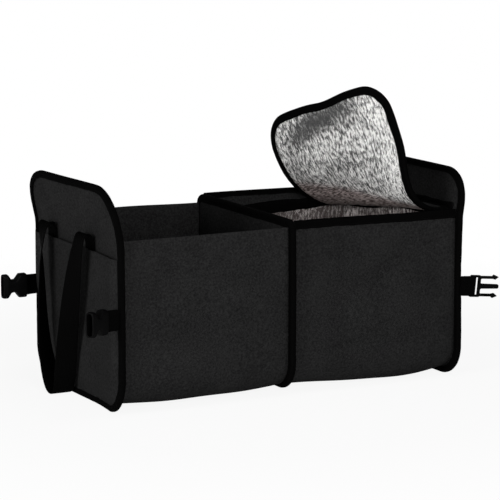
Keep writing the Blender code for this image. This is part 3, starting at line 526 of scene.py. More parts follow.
def bindingPiece(name, surface, outline, depths, settings, closed, body, nodes, seed):
    # ribbon folded over an edge: its section is a U with a round fold, pinched along the seam, and it wavers
    low, high = depths
    thick, leg, seam = settings["thickness"], settings["leg"], settings["seam"]
    half = (high - low) / 2
    fold = min(half - thick / 2, settings["fold"])
    turn = np.linspace(0.0, np.pi, 13)
    t = np.linspace(1.0, 0.0, 11)
    legIn = fold + (leg - fold) * t
    puff = settings["puff"] * (np.sin(np.pi * np.clip((legIn - fold * 0.5) / (seam - fold * 0.5), 0, 1))
                               + 0.6 * np.sin(np.pi * np.clip((legIn - seam) / (leg - seam), 0, 1)))
    pinch = settings["pinch"] * np.exp(-((legIn - seam) / 0.0011) ** 2)
    rise = puff - pinch
    flat = half - thick / 2
    bend = turn[1:-1]
    arcIn = fold - fold * np.sin(bend)
    arcOut = np.where(bend < np.pi / 2, -flat + fold, flat - fold) - fold * np.cos(bend)
    inward = np.concatenate([legIn, arcIn, legIn[::-1]])
    outward = np.concatenate([-flat - rise, arcOut, flat + rise[::-1]])
    tangent = np.gradient(np.stack([inward, outward], axis=1), axis=0)
    tangent /= np.linalg.norm(tangent, axis=1, keepdims=True)
    across = np.stack([-tangent[:, 1], tangent[:, 0]], axis=1)
    line = np.stack([inward, outward], axis=1)
    outer, inner = line - across * thick / 2, line + across * thick / 2
    section = np.concatenate([outer, inner[::-1]])
    widths = runLength(line)
    widths = np.concatenate([widths, widths[::-1]])

    u, v, inU, inV = outline.T[:, :, None]
    edgePoints = surface(u[:, 0], v[:, 0])
    s = runLength(edgePoints)
    wavers = wander(s, seed, (0.061, 0.037, 0.023, 0.0145), settings["waver"])
    legWaver = wander(s, seed + 1, (0.083, 0.047, 0.019), settings["legWaver"])
    inwardHere = section[None, :, 0] * (1.0 + (legWaver / leg)[:, None] * smooth(section[None, :, 0] / leg))
    depthHere = (low + high) / 2 + section[None, :, 1] * (1.0 + (wavers / half)[:, None])
    atU, atV = u + inU * inwardHere, v + inV * inwardHere
    points = surface(atU, atV) + normalsOf(surface, atU, atV) * depthHere[..., None]
    strip = np.stack(np.broadcast_arrays(s[:, None], widths[None, :]), axis=-1)
    rows, columns = points.shape[:2]
    quads = gridQuads(rows, columns, closed, True)
    caps = () if closed else (range(columns), range((rows - 1) * columns, rows * columns))
    return makePiece(name, points, quads, "ribbon", body, nodes, strip, None, caps)


stitch = {"pitch": 0.0036, "length": 0.0027, "radius": 0.00034, "arch": 0.00022, "above": 0.00005}


def stitchesAlong(lines, up):
    # small threads laid end to end along lines: each is a tapered tube that arches over the cloth
    rings, sides = 5, 6
    t = np.linspace(-1.0, 1.0, rings)
    radius = stitch["radius"] * np.sqrt(np.clip(1.08 - t ** 2, 0.0, 1.0))
    turn = np.arange(sides) * 2 * np.pi / sides
    long = np.repeat(t * stitch["length"] / 2, sides)
    side = (radius[:, None] * np.cos(turn)).ravel()
    high = (radius[:, None] * np.sin(turn) + (stitch["arch"] * (1 - t ** 2))[:, None]).ravel()
    template = gridQuads(rings, sides, False, True)
    allPoints, allQuads, count = [], [], 0
    for line, ups in zip(lines, up):
        s = runLength(line)
        places = np.arange(stitch["pitch"] / 2, s[-1], stitch["pitch"])
        centre = np.stack([np.interp(places, s, line[:, k]) for k in range(3)], axis=1)
        ahead = np.stack([np.interp(places + 0.0008, s, line[:, k]) for k in range(3)], axis=1)
        behind = np.stack([np.interp(places - 0.0008, s, line[:, k]) for k in range(3)], axis=1)
        along = ahead - behind
        along /= np.maximum(np.linalg.norm(along, axis=1, keepdims=True), 1e-9)
        rise = np.stack([np.interp(places, s, ups[:, k]) for k in range(3)], axis=1)
        rise -= along * (rise * along).sum(axis=1, keepdims=True)
        rise /= np.maximum(np.linalg.norm(rise, axis=1, keepdims=True), 1e-9)
        beside = np.cross(along, rise)
        points = (centre[:, None] + along[:, None] * long[None, :, None]
                  + beside[:, None] * side[None, :, None] + rise[:, None] * high[None, :, None])
        quads = template[None] + (np.arange(len(centre)) * rings * sides)[:, None, None]
        allPoints.append(points.reshape(-1, 3))
        allQuads.append(quads.reshape(-1, 4) + count)
        count += len(centre) * rings * sides
    return np.concatenate(allPoints), np.concatenate(allQuads)


def stitchPiece(name, surface, outline, inward, depths, body):
    # stitches along a binding's seam, on its outer and its inner face
    u, v, inU, inV = outline.T
    atU, atV = u + inU * inward, v + inV * inward
    middle, normal = surface(atU, atV), normalsOf(surface, atU, atV)
    lines = [middle + normal * (depths[0] - stitch["above"]), middle + normal * (depths[1] + stitch["above"])]
    points, quads = stitchesAlong(lines, [-normal, normal])
    makePiece(name, points, quads, "thread", body, ())


# End panels: boards between felts, bound all round, with a pocket on the outside

panel = {
    "halfLength": 0.270, "width": 0.304, "ribbonEdge": 0.0014, "spreadFrom": -0.050,
    "felt": 0.0014, "pocketDepth": 0.0011, "outerDepth": 0.0028, "innerDepth": 0.0058, "thickness": 0.0083,
    "board": 0.0012, "boardDepth": 0.0044, "boardInset": 0.010, "roundedShare": 0.96,
    "left": {"side": -1, "height": 0.3090, "front": 0.083, "back": 0.060, "foot": 0.050, "waist": 0.0,
             "flare": 0.0130, "flareFrom": 0.218, "flareTo": 0.330, "twist": 0.70, "spread": 0.0080},
    "right": {"side": 1, "height": 0.3032, "front": 0.052, "back": 0.060, "foot": 0.046, "waist": 0.0034,
              "flare": 0.0092, "flareFrom": 0.228, "flareTo": 0.303, "twist": 0.0, "spread": 0.0},
}
binding = {"thickness": 0.0008, "leg": 0.0090, "seam": 0.0068, "fold": 0.0030, "puff": 0.00012,
           "pinch": 0.00015, "waver": 0.00035, "legWaver": 0.0005}
pocket = {
    "height": 0.2155, "stand": 0.0028, "ramp": 0.020, "flat": 0.0093, "sag": 0.0016,
    "creases": (
        {"start": (-0.0315, 0.2120), "end": (-0.0230, 0.1420), "depth": 0.0017, "width": 0.0052},
        {"start": (-0.0480, 0.2160), "end": (-0.0400, 0.1500), "depth": -0.0012, "width": 0.0110},
        {"start": (0.0987, 0.2070), "end": (0.0588, 0.1420), "depth": 0.0016, "width": 0.0052},
        {"start": (0.0740, 0.2160), "end": (0.0700, 0.1600), "depth": -0.0012, "width": 0.0110},
        {"start": (0.0150, 0.2160), "end": (0.0150, 0.1300), "depth": -0.0010, "width": 0.0200},
    ),
    "loose": {"at": 0.1340, "reach": 0.013, "from": 0.1100, "over": 0.05, "rise": 0.0060}, "least": 0.0006,
}


def spreadOf(end, y):
    # how far the panel's front part bends out
    return end["spread"] * smooth((panel["spreadFrom"] - y) / (panel["spreadFrom"] + panel["width"] / 2))


def panelSurface(end):
    # outer face: it leans out above the start of the flare, more at one edge where it is twisted
    def at(u, v):
        y = end["side"] * v
        lean = end["flare"] * (1 + end["twist"] * y / (panel["width"] / 2))
        lean = lean * smooth((u - end["flareFrom"]) / (end["flareTo"] - end["flareFrom"]))
        bow = rumple(y, u, 5 + end["side"], 5, 0.14, 0.3, 0.0005) + spreadOf(end, y)
        waist = 1 - end["waist"] / (panel["width"] / 2) * np.exp(-((u - 0.150) / 0.055) ** 2)
        x = end["side"] * (panel["halfLength"] + lean + bow)
        return np.stack(np.broadcast_arrays(x, y * waist, u), axis=-1)
    return at


def pocketLift(end):
    # the pocket stands off for the webbing behind it and is creased by the handle's pull;
    # it sags open at its top, and is loose near one edge
    def lift(u, v):
        y = end["side"] * v
        toSide = panel["width"] / 2 - np.abs(v)
        radius = end["foot"]
        corner = (u < radius) & (toSide < radius)
        toEdge = np.where(corner, radius - np.hypot(radius - u, radius - toSide), np.minimum(toSide, u))
        inField = smooth((toEdge - pocket["flat"]) / pocket["ramp"])
        raised = pocket["stand"] + pocket["sag"] * smooth((u - 0.11) / 0.1)
        for crease in pocket["creases"]:
            start = np.array(crease["start"])
            way = np.array(crease["end"]) - start
            long = np.linalg.norm(way)
            t = ((y - start[0]) * way[0] + (u - start[1]) * way[1]) / long ** 2
            off = ((y - start[0]) * way[1] - (u - start[1]) * way[0]) / long
            wide = crease["width"] * (1 + 0.8 * np.clip(t, 0, 1))
            fade = smooth(1.25 - t) * smooth((t + 0.5) / 0.3)
            raised = raised - crease["depth"] * np.exp(-(off / wide) ** 2) * fade
        raised = raised + rumple(y, u, 31 + end["side"], 6, 0.05, 0.12, 0.0003)
        loose = pocket["loose"]
        opening = loose["rise"] * np.exp(-((y - loose["at"]) / loose["reach"]) ** 2)
        opening = opening * smooth((u - loose["from"]) / loose["over"])
        return np.maximum(raised, pocket["least"]) * inField + opening
    return lift


def buildPanel(name):
    end = panel[name]
    surface = panelSurface(end)
    half, edge = panel["width"] / 2, panel["ribbonEdge"]
    low = end["foot"]
    firstRadius, lastRadius = (end["front"], end["back"]) if end["side"] > 0 else (end["back"], end["front"])
    radii = (low, low, lastRadius, firstRadius)
    u, v = sheetGrid(edge, end["height"] - edge, edge - half, half - edge, np.array(radii) - edge, 64, 48)
    for label, depth in (("outer_felt", panel["outerDepth"]), ("inner_felt", panel["innerDepth"])):
        made = sheetPiece(name + "_panel_" + label, surface, u, v, depth, panel["felt"], "felt", "bag",
                          [name + "_" + label])
    inset = panel["boardInset"]
    u, v = sheetGrid(inset, end["height"] - inset, inset - half, half - inset, np.array(radii) - inset, 48, 40)
    sheetPiece(name + "_panel_board", surface, u, v, panel["boardDepth"], panel["board"], "board", "bag",
               [name + "_stiffener"])
    outline = joined(outlineOf(0.0, end["height"], -half, half, radii), True)
    depths = (0.0, panel["thickness"])
    bindingPiece(name + "_panel_binding", surface, outline, depths, binding, True, "bag", [name + "_binding"],
                 3 + end["side"])
    ring = np.concatenate([outline, outline[:1]])
    stitchPiece(name + "_binding_stitching", surface, ring, binding["seam"], depths, "bag")

    radii = (low - edge, low - edge, 0.0001, 0.0001)
    u, v = sheetGrid(edge, pocket["height"], edge - half, half - edge, radii, 90, 96)
    made = sheetPiece(name + "_panel_pocket", surface, u, v, panel["pocketDepth"], panel["felt"], "felt", "bag",
                      [name + "_pocket"], pocketLift(end))


buildPanel("left")
buildPanel("right")
print("made the end panels")


# Divider: two felts on a foam, bound all round

divider = {"leftX": -0.0153, "frontShift": 0.0018, "backShift": 0.0062, "width": 0.301, "base": 0.0070,
           "top": 0.2514, "lowRadius": 0.041, "topRadii": (0.015, 0.020), "thickness": 0.0086, "edge": 0.0014}
# each layer's piece, the node that it stands for, its kind, depth and thickness
dividerLayers = (("left_face", "left_felt", "felt", 0.0011, 0.0014),
                 ("right_face", "right_felt", "felt", 0.0061, 0.0014),
                 ("foam_layer", "foam", "foam", 0.0027, 0.0032))
dividerBinding = dict(binding, leg=0.0112, seam=0.0088)


def dividerShift(y):
    # the divider stands a little askew, further to the right at the back
    t = np.clip(y / divider["width"] + 0.5, 0.0, 1.0)
    return divider["frontShift"] + (divider["backShift"] - divider["frontShift"]) * t


def dividerAt(u, v):
    # its left face, nearly flat, with a slight bow
    bow = rumple(v, u, 11, 4, 0.12, 0.25, 0.0003) + dividerShift(-v)
    return np.stack(np.broadcast_arrays(divider["leftX"] + bow, -v, u), axis=-1)


def buildDivider():
    half, edge = divider["width"] / 2, divider["edge"]
    low, high = divider["base"], divider["top"]
    radii = np.array((divider["lowRadius"], divider["lowRadius"]) + divider["topRadii"])
    u, v = sheetGrid(low + edge, high - edge, edge - half, half - edge, radii - edge, 48, 40)
    for label, node, kind, depth, thickness in dividerLayers:
        made = sheetPiece("divider_" + label, dividerAt, u, v, depth, thickness, kind, "bag", ["divider_" + node])
    outline = joined(outlineOf(low, high, -half, half, radii), True)
    depths = (0.0, divider["thickness"])
    bindingPiece("divider_edge_binding", dividerAt, outline, depths, dividerBinding, True, "bag",
                 ["divider_binding"], 21)
    ring = np.concatenate([outline, outline[:1]])
    stitchPiece("divider_stitching", dividerAt, ring, dividerBinding["seam"], depths, "bag")


buildDivider()
print("made the divider")


# Compartment walls: one felt down the front, under the floor and up the back

wall = {
    "half": 0.1415, "base": 0.0105, "radius": 0.0395, "felt": 0.0014, "bulge": 0.0040, "bound": 0.0130,
    "backFall": 0.0028,
    "left": {"top": 0.2405, "first": -0.2625, "last": -0.0156, "sag": 0.0050, "lean": 1.0,
             "nodes": ["left_compartment_walls"]},
    "cooler": {"top": 0.2484, "first": -0.0064, "last": 0.2625, "sag": 0.0090, "lean": 1.70,
               "nodes": ["cooler_walls"]},
}
rim = dict(binding, height=0.2495, fall=0.0030, first=-0.0064, last=0.2614, leg=0.0122, seam=0.0098,
           fold=0.0012, puff=0.00010, pinch=0.00012, waver=0.00015, legWaver=0.0006, fit=0.0003)
backRim = dict(rim, height=0.2516, leg=0.0080, seam=0.0062)


def wallSurface(part):
    # a U section carried along the bag; it swells outwards between the bound edges and sags under the floor
    half, base, radius = wall["half"], wall["base"], wall["radius"]
    upright = part["top"] - base - radius
    bend = np.pi / 2 * radius
    floor = 2 * (half - radius)
    total = 2 * upright + 2 * bend + floor

    def at(u, v):
        u, v = np.broadcast_arrays(u, v)
        firstTurn = np.clip((u - upright) / radius, 0.0, np.pi / 2)
        lastTurn = np.clip((u - upright - bend - floor) / radius, 0.0, np.pi / 2)
        along = np.clip(u - upright - bend, 0.0, floor)
        down = np.minimum(u, upright)
        up = np.maximum(u - upright - 2 * bend - floor, 0.0)
        y = -half + radius * (1 - np.cos(firstTurn)) + along + radius * np.sin(lastTurn)
        z = part["top"] - down - radius * np.sin(firstTurn) + radius * (1 - np.cos(lastTurn)) + up
        facing = np.pi + firstTurn + lastTurn
        across = np.clip((v - part["first"]) / (part["last"] - part["first"]), 0.0, 1.0)
        fromRim = np.minimum(u, total - u)
        swell = wall["bulge"] * smooth((fromRim - wall["bound"]) / (0.75 * upright))
        swell = swell + (part["sag"] - wall["bulge"]) * smooth((fromRim - upright) / bend)
        shape = np.sin(np.pi * across ** part["lean"]) ** 0.8
        waves = rumple(v, u, 41, 7, 0.06, 0.17, 0.0006) * smooth((fromRim - wall["bound"]) / 0.03) * shape
        out = swell * shape + waves
        if part is wall["left"]:
            x = v - (1 - across) * spreadOf(panel["left"], y) + across * dividerShift(y)
            z = z - wall["backFall"] * smooth(2 * across - 1) * smooth((u - total + upright) / upright)
        else:
            x = v + (1 - across) * dividerShift(y)
            z = z - rim["fall"] * smooth(across) * smooth(1 - fromRim / upright)
            z = z + (backRim["height"] - rim["height"]) * smooth((u - total + upright) / upright)
        return np.stack([x, y + out * np.cos(facing), z + out * np.sin(facing)], axis=-1)
    return at, total


def buildWalls(name):
    part = wall[name]
    surface, total = wallSurface(part)
    u, v = np.meshgrid(np.linspace(0.0, total, 150), np.linspace(part["first"], part["last"], 44),
                       indexing="ij")
    made = sheetPiece(name + "_felt_walls", surface, u, v, -wall["felt"], wall["felt"], "felt", "bag",
                      part["nodes"])


buildWalls("left")
buildWalls("cooler")


def buildRim(label, side):
    # ribbon over the top edge of the cooler's front or back wall
    settings = rim if side < 0 else backRim

    def surface(u, v):
        y = side * (wall["half"] + wander(v, 7 + side, (0.31, 0.17), 0.0006))
        across = (v - rim["first"]) / (rim["last"] - rim["first"])
        x = v + (1 - across) * dividerShift(side * wall["half"])
        z = settings["height"] - rim["fall"] * smooth(across) - u
        return np.stack(np.broadcast_arrays(x, y, z), axis=-1)
    outer = rim["thickness"] + rim["fit"]
    depths = (-wall["felt"] - outer, outer) if side < 0 else (-outer, wall["felt"] + outer)
    v = np.linspace(rim["first"], rim["last"], 60)
    outline = np.stack([np.zeros_like(v), v, np.ones_like(v), np.zeros_like(v)], axis=1)
    bindingPiece("cooler_" + label + "_rim", surface, outline, depths, settings, False, "bag",
                 ["cooler_" + label + "_rim_binding"], 51 + side)
    stitchPiece("cooler_" + label + "_rim_stitching", surface, outline, settings["seam"], depths, "bag")


buildRim("front", -1)
buildRim("back", 1)
print("made the walls")


# Cooler insert: a foil tub whose corners are soft, under a bound rim

insert = {
    "foilX": (-0.0003, 0.2561), "half": 0.1334, "foil": 0.0008, "floor": 0.0203, "rimTop": 0.2262,
    "foam": 0.0022, "foamLong": 0.0040, "fit": 0.0003, "under": 0.004, "inward": 0.0012, "swell": 0.0011,
    "corners": (0.010, 0.026, 0.004, 0.018), "backLeft": 0.0030, "backRight": 0.2365, "footRadius": 0.026,
    # heights of the rim at places along the back, in x, and along the hinged side, in y
    "backRim": ((0.0, 0.2262), (0.075, 0.2290), (0.087, 0.2310), (0.122, 0.2325), (0.160, 0.2321),
                (0.195, 0.2311), (0.256, 0.2285)),
    "hingedRim": ((-0.133, 0.2378), (0.0, 0.2378), (0.05, 0.2320), (0.133, 0.2285)),
    # where the back's and the hinged side's own heights begin, and over how far
    "backFrom": 0.085, "backOver": 0.040, "hingedFrom": 0.225, "hingedOver": 0.022,
}
insertRim = {"thickness": 0.0008, "leg": 0.0092, "depth": 0.0074, "outward": 0.0018, "waver": 0.0005,
             "backLegs": ((0.0, 0.0176), (0.122, 0.0176), (0.151, 0.0164), (0.186, 0.0136), (0.213, 0.0100),
                          (0.256, 0.0092)),
             "hingedLeg": 0.0044, "hingedFrom": 0.238, "hingedOver": 0.012}
# the foil's tone in the tub: its middle, chance waves round and down it, the hinged side painted lighter as a
# highlight, and painted shade in the back right corner
insertToneAndPaintedLight = {"middle": 0.02, "round": 0.30, "down": 0.12, "hinged": 0.30, "hingedOver": 0.006, "corner": -0.7,
              "paintedCornerShadeReach": 0.0050, "warm": 0.55, "warmFrom": 0.02, "warmOver": 0.10}


def insertOutline(count):
    # a rectangle in plan with its own radius at each corner, its back right corner drawn in
    low, high = insert["foilX"]
    half = insert["half"]
    backLeft, backRight = low + insert["backLeft"], insert["backRight"]
    corners = np.array(((low, -half), (backLeft, half), (backRight, half), (high, -half)))
    points = []
    for k, (corner, radius) in enumerate(zip(corners, insert["corners"])):
        before, after = corners[k - 1] - corner, corners[(k + 1) % 4] - corner
        before, after = before / np.linalg.norm(before), after / np.linalg.norm(after)
        spread = np.arccos(np.clip(before @ after, -1, 1))
        reach = radius / np.tan(spread / 2)
        centre = corner + (before + after) / np.linalg.norm(before + after) * radius / np.sin(spread / 2)
        first, last = corner + before * reach - centre, corner + after * reach - centre
        start, end = np.arctan2(first[1], first[0]), np.arctan2(last[1], last[0])
        sweep = (end - start + np.pi) % (2 * np.pi) - np.pi
        turn = start + sweep * np.linspace(0.0, 1.0, 14)
        points.append(centre + radius * np.stack([np.cos(turn), np.sin(turn)], axis=1))
    line = np.concatenate(points)
    line = np.concatenate([line, line[:1]])
    s = runLength(line)
    places = np.linspace(0.0, s[-1], count, endpoint=False)
    return np.stack([np.interp(places, s, line[:, 0]), np.interp(places, s, line[:, 1])], axis=1), places


def rimHeight(x, y):
    # the rim rises in the middle of the back wall, and along the hinge towards the front
    back = np.interp(x, *zip(*insert["backRim"]))
    hinged = np.interp(y, *zip(*insert["hingedRim"]))
    share = smooth((y - insert["backFrom"]) / insert["backOver"])
    height = insert["rimTop"] + (back - insert["rimTop"]) * share
    share = smooth((x - insert["hingedFrom"]) / insert["hingedOver"])
    return height + (hinged - height) * share


def tubShell(inner, outer):
    # two tubs of rings, joined at their tops and each closed in its floor's middle
    rows, columns = inner.shape[:2]
    shift, number = rows * columns, np.arange(columns)
    after = np.roll(number, -1)
    join = np.stack([number, after, shift + after, shift + number], axis=1)
    innerQuads, outerQuads = (gridQuads(rows, columns, False, True, first) for first in (0, shift))
    last = shift - columns + number
    points = np.concatenate([inner.reshape(-1, 3), outer.reshape(-1, 3)])
    quads = np.concatenate([innerQuads, outerQuads[:, ::-1], join])
    return points, quads, (last.tolist(), (shift + last).tolist())


def buildInsert():
    # rings of the plan, shrinking round the foot into the floor's middle
    outline, places = insertOutline(280)
    centre = np.array([(insert["foilX"][0] + insert["foilX"][1]) / 2, 0.0])
    foot = insert["footRadius"]
    # steps from 0 to 1 go down the wall, to 2 round the foot and to 3 along the floor
    steps = [start + np.linspace(0.0, 1.0, count)[1:] for start, count in ((0, 56), (1, 14), (2, 26))]
    steps = np.concatenate([[0.0]] + steps)
    down = np.clip(steps, 0, 1)[:, None]
    turn = np.clip(steps - 1, 0, 1)[:, None] * np.pi / 2
    along = np.clip(steps - 2, 0, 1)[:, None]
    top = rimHeight(outline[:, 0], outline[:, 1])[None, :] - insert["under"]
    z = top + (insert["floor"] + foot - top) * down - foot * np.sin(turn)
    away = outline - centre
    reach = np.linalg.norm(away, axis=1)[None, :]
    pulled = foot * (1 - np.cos(turn))
    shrink = (1 - pulled / reach) * (1 - along * 0.999)
    x = centre[0] + away[:, 0] * shrink
    y = centre[1] + away[:, 1] * shrink
    s = places[None, :] + np.zeros_like(x)
    moved = np.sqrt(np.diff(x, axis=0) ** 2 + np.diff(y, axis=0) ** 2 + np.diff(z, axis=0) ** 2)
    depth = np.cumsum(np.concatenate([np.zeros((1, x.shape[1])), moved]), axis=0)
    onFloor, onWall = np.stack([x + 3.0, y], axis=-1), np.stack([depth, s], axis=-1)
    strip = np.where((steps > 2)[:, None, None], onFloor, onWall)
    swell = rumple(s, depth, 61, 24, 0.014, 0.05, insert["swell"]) * smooth(depth / 0.012) * (1 - 0.5 * along)
    outN = away / np.linalg.norm(away, axis=1, keepdims=True)
    lateral = np.cos(turn) * (1 - along)
    x = x + outN[:, 0] * (swell - insert["inward"]) * lateral
    y = y + outN[:, 1] * (swell - insert["inward"]) * lateral
    z = z + np.abs(swell) * (1 - lateral)
    inner = np.stack([x, y, z], axis=-1)
    tangentRing = np.roll(inner, -1, axis=1) - np.roll(inner, 1, axis=1)
    tangentDown = np.gradient(inner, axis=0)
    normal = np.cross(tangentRing, tangentDown)
    normal /= np.maximum(np.linalg.norm(normal, axis=-1, keepdims=True), 1e-12)
    facing = np.sign((normal * (inner - np.array([centre[0], 0.0, 0.15]))).sum(axis=-1, keepdims=True))
    facing[facing == 0] = 1.0
    way = normal * facing
    points, quads, caps = tubShell(inner, inner + way * insert["foil"])
    low, high = insert["foilX"]
    right, half, look = insert["backRight"], insert["half"], insertToneAndPaintedLight
    tone = look["middle"] + look["round"] * wander(s, 63, (0.09, 0.21, 0.13), 1.0)
    tone = tone + look["down"] * wander(depth, 64, (0.05, 0.11), 1.0)
    fromHinged = x - right - (high - right) * (0.5 - y / (2 * half))
    # painted highlight: the hinged side's foil is made lighter for the light it catches
    tone = tone + look["hinged"] * smooth(fromHinged / look["hingedOver"] + 1)
    # painted shade: the foil darkens round the back right corner
    tone = tone + look["corner"] * np.exp(-(np.hypot(x - right, y - half) / look["paintedCornerShadeReach"]) ** 2)
    warm = look["warm"] * smooth((x - look["warmFrom"]) / look["warmOver"])
    marks = {"tone": tone, "warm": warm, "pulled": np.zeros_like(tone)}
    marks = {label: np.concatenate([values.ravel()] * 2) for label, values in marks.items()}
    made = makePiece("insert_foil_lining", points, quads, "foil", "bag", ["insert_foil"],
                     np.concatenate([strip.reshape(-1, 2)] * 2), marks, caps)
    thick = insert["foam"] + (insert["foamLong"] - insert["foam"]) * outN[:, 1] ** 2 * lateral
    against = inner + way * (insert["foil"] + insert["fit"])
    points, quads, caps = tubShell(against, against + way * thick[..., None])
    made = makePiece("insert_foam_tub", points, quads, "foam", "bag", ["insert_foam"], caps=caps)


def buildInsertRim():
    # ribbon folded over the tub's edge: a flattened loop carried round the plan
    outline, places = insertOutline(220)
    ahead, behind = np.roll(outline, -1, axis=0), np.roll(outline, 1, axis=0)
    tangent = ahead - behind
    tangent /= np.linalg.norm(tangent, axis=1, keepdims=True)
    out = np.stack([-tangent[:, 1], tangent[:, 0]], axis=1)
    centre = outline.mean(axis=0)
    out *= np.sign((out * (outline - centre)).sum(axis=1, keepdims=True))
    leg, deep = insertRim["leg"], insertRim["depth"]
    turn = np.linspace(0.0, np.pi, 11)
    legDown = np.linspace(leg, deep / 2, 7)[:-1]
    down = np.concatenate([legDown, deep / 2 - deep / 2 * np.sin(turn), legDown[::-1]])
    across = np.concatenate([np.full(6, -deep / 2), -deep / 2 * np.cos(turn), np.full(6, deep / 2)])
    line = np.stack([across, down], axis=1)
    way = np.gradient(line, axis=0)
    way /= np.linalg.norm(way, axis=1, keepdims=True)
    side = np.stack([way[:, 1], -way[:, 0]], axis=1)
    half = side * insertRim["thickness"] / 2
    section = np.concatenate([line + half, (line - half)[::-1]])
    waver = wander(places, 71, (0.055, 0.034, 0.019), insertRim["waver"])
    offset = section[None, :, 0] + insertRim["outward"]
    x = outline[:, 0, None] + out[:, 0, None] * offset
    y = outline[:, 1, None] + out[:, 1, None] * offset
    legs = np.interp(outline[:, 0], *zip(*insertRim["backLegs"]))
    legs = leg + (legs - leg) * smooth((outline[:, 1] - insert["backFrom"]) / insert["backOver"])
    hinged = smooth((outline[:, 0] - insertRim["hingedFrom"]) / insertRim["hingedOver"])
    legs = legs + (insertRim["hingedLeg"] - legs) * hinged
    drop = section[None, :, 1] * (legs / leg)[:, None] * (1 + 0.07 * (waver / insertRim["waver"])[:, None])
    z = rimHeight(outline[:, 0], outline[:, 1])[:, None] + waver[:, None] - drop
    points = np.stack([x, y, z], axis=-1)
    widths = runLength(line)
    widths = np.concatenate([widths, widths[::-1]])
    strip = np.stack(np.broadcast_arrays(places[:, None], widths[None, :]), axis=-1)
    makePiece("insert_rim", points, gridQuads(*points.shape[:2], True, True), "ribbon", "bag",
              ["insert_rim_binding"], strip)


buildInsert()
buildInsertRim()
print("made the insert")


# Lid: felt and foil bound together, curled up from its hinge

lid = {
    "hinge": (0.2576, 0.2460), "length": 0.244, "front": -0.133, "back": 0.126, "frontTaper": 0.003,
    "backTaper": 0.017, "corners": (0.044, 0.041), "felt": 0.0024, "foil": 0.0010, "gap": 0.0003,
    "edge": 0.0014, "start": 0.0027, "share": 0.97, "waves": ((0.44, 0.13, -0.0046), (0.80, 0.14, 0.0026)),
    # which way the sheet points at even steps along its front and back edges
    "frontAngles": (192.0, 154.0, 109.0, 99.0, 108.0, 114.0, 111.0),
    "backAngles": (235.0, 192.0, 156.0, 143.0, 122.0, 115.0, 125.0),
    "tone": 0.50, "warmTone": -0.10, "warmFrom": 0.103, "warmSlope": 0.38,
}
lidBinding = dict(binding, leg=0.0108, seam=0.0084, fold=0.0022, waver=0.0003, legWaver=0.0007)
# painted reflections and shade on the foil: light and dark areas, each with its place along and across the lid,
# reach each way, and how much lighter
paintedFoilReflections = (
    ((0.230, 0.095), (0.018, 0.030), 0.15),
    ((0.222, -0.030), (0.019, 0.046), -0.80),
    ((0.212, 0.022), (0.021, 0.034), -0.70),
    ((0.200, 0.062), (0.021, 0.028), -0.60),
    ((0.196, -0.045), (0.009, 0.016), -0.18),
    ((0.176, 0.018), (0.018, 0.046), 0.39),
    ((0.168, -0.060), (0.020, 0.022), 0.24),
    ((0.190, -0.108), (0.036, 0.019), 0.39),
    ((0.215, -0.088), (0.012, 0.020), 0.22),
    ((0.118, -0.108), (0.040, 0.020), 0.42),
    ((0.136, -0.012), (0.015, 0.036), -0.33),
    ((0.155, 0.092), (0.030, 0.022), -0.18),
    ((0.074, -0.030), (0.007, 0.070), 0.30),
)


def lidAt(u, v):
    # the sheet's direction turns along u, blending evenly from the front edge's turns to the back edge's
    u, v = np.broadcast_arrays(u, v)
    middle = (lid["front"] + lid["back"]) / 2
    across = (v - lid["front"]) / (lid["back"] - lid["front"])
    knots = np.linspace(0.0, lid["length"], len(lid["frontAngles"]))
    t = (np.arange(40) + 0.5) / 40
    stations = u[..., None] * t
    turned = np.interp(stations, knots, lid["frontAngles"]) * (1 - across[..., None])
    turned = np.radians(turned + np.interp(stations, knots, lid["backAngles"]) * across[..., None])
    x = lid["hinge"][0] + np.cos(turned).mean(axis=-1) * u
    z = lid["hinge"][1] + np.sin(turned).mean(axis=-1) * u
    taper = np.where(v > middle, lid["backTaper"], lid["frontTaper"])
    y = v - np.sign(v - middle) * taper * (u / lid["length"]) ** 2 * np.abs(2 * across - 1)
    for at, reach, rise in lid["waves"]:
        z = z + rise * np.exp(-((across - at) / reach) ** 2) * (u / lid["length"]) ** 3
    return np.stack([x, y, z], axis=-1)


def rumpledLid(u, v):
    # the lid's own surface, with shallow waves over it
    base = lidAt(u, v)
    waves = rumple(u, v, 81, 8, 0.05, 0.12, 0.0007) * smooth(u / 0.03)
    return base + normalsOf(lidAt, u, v) * waves[..., None]


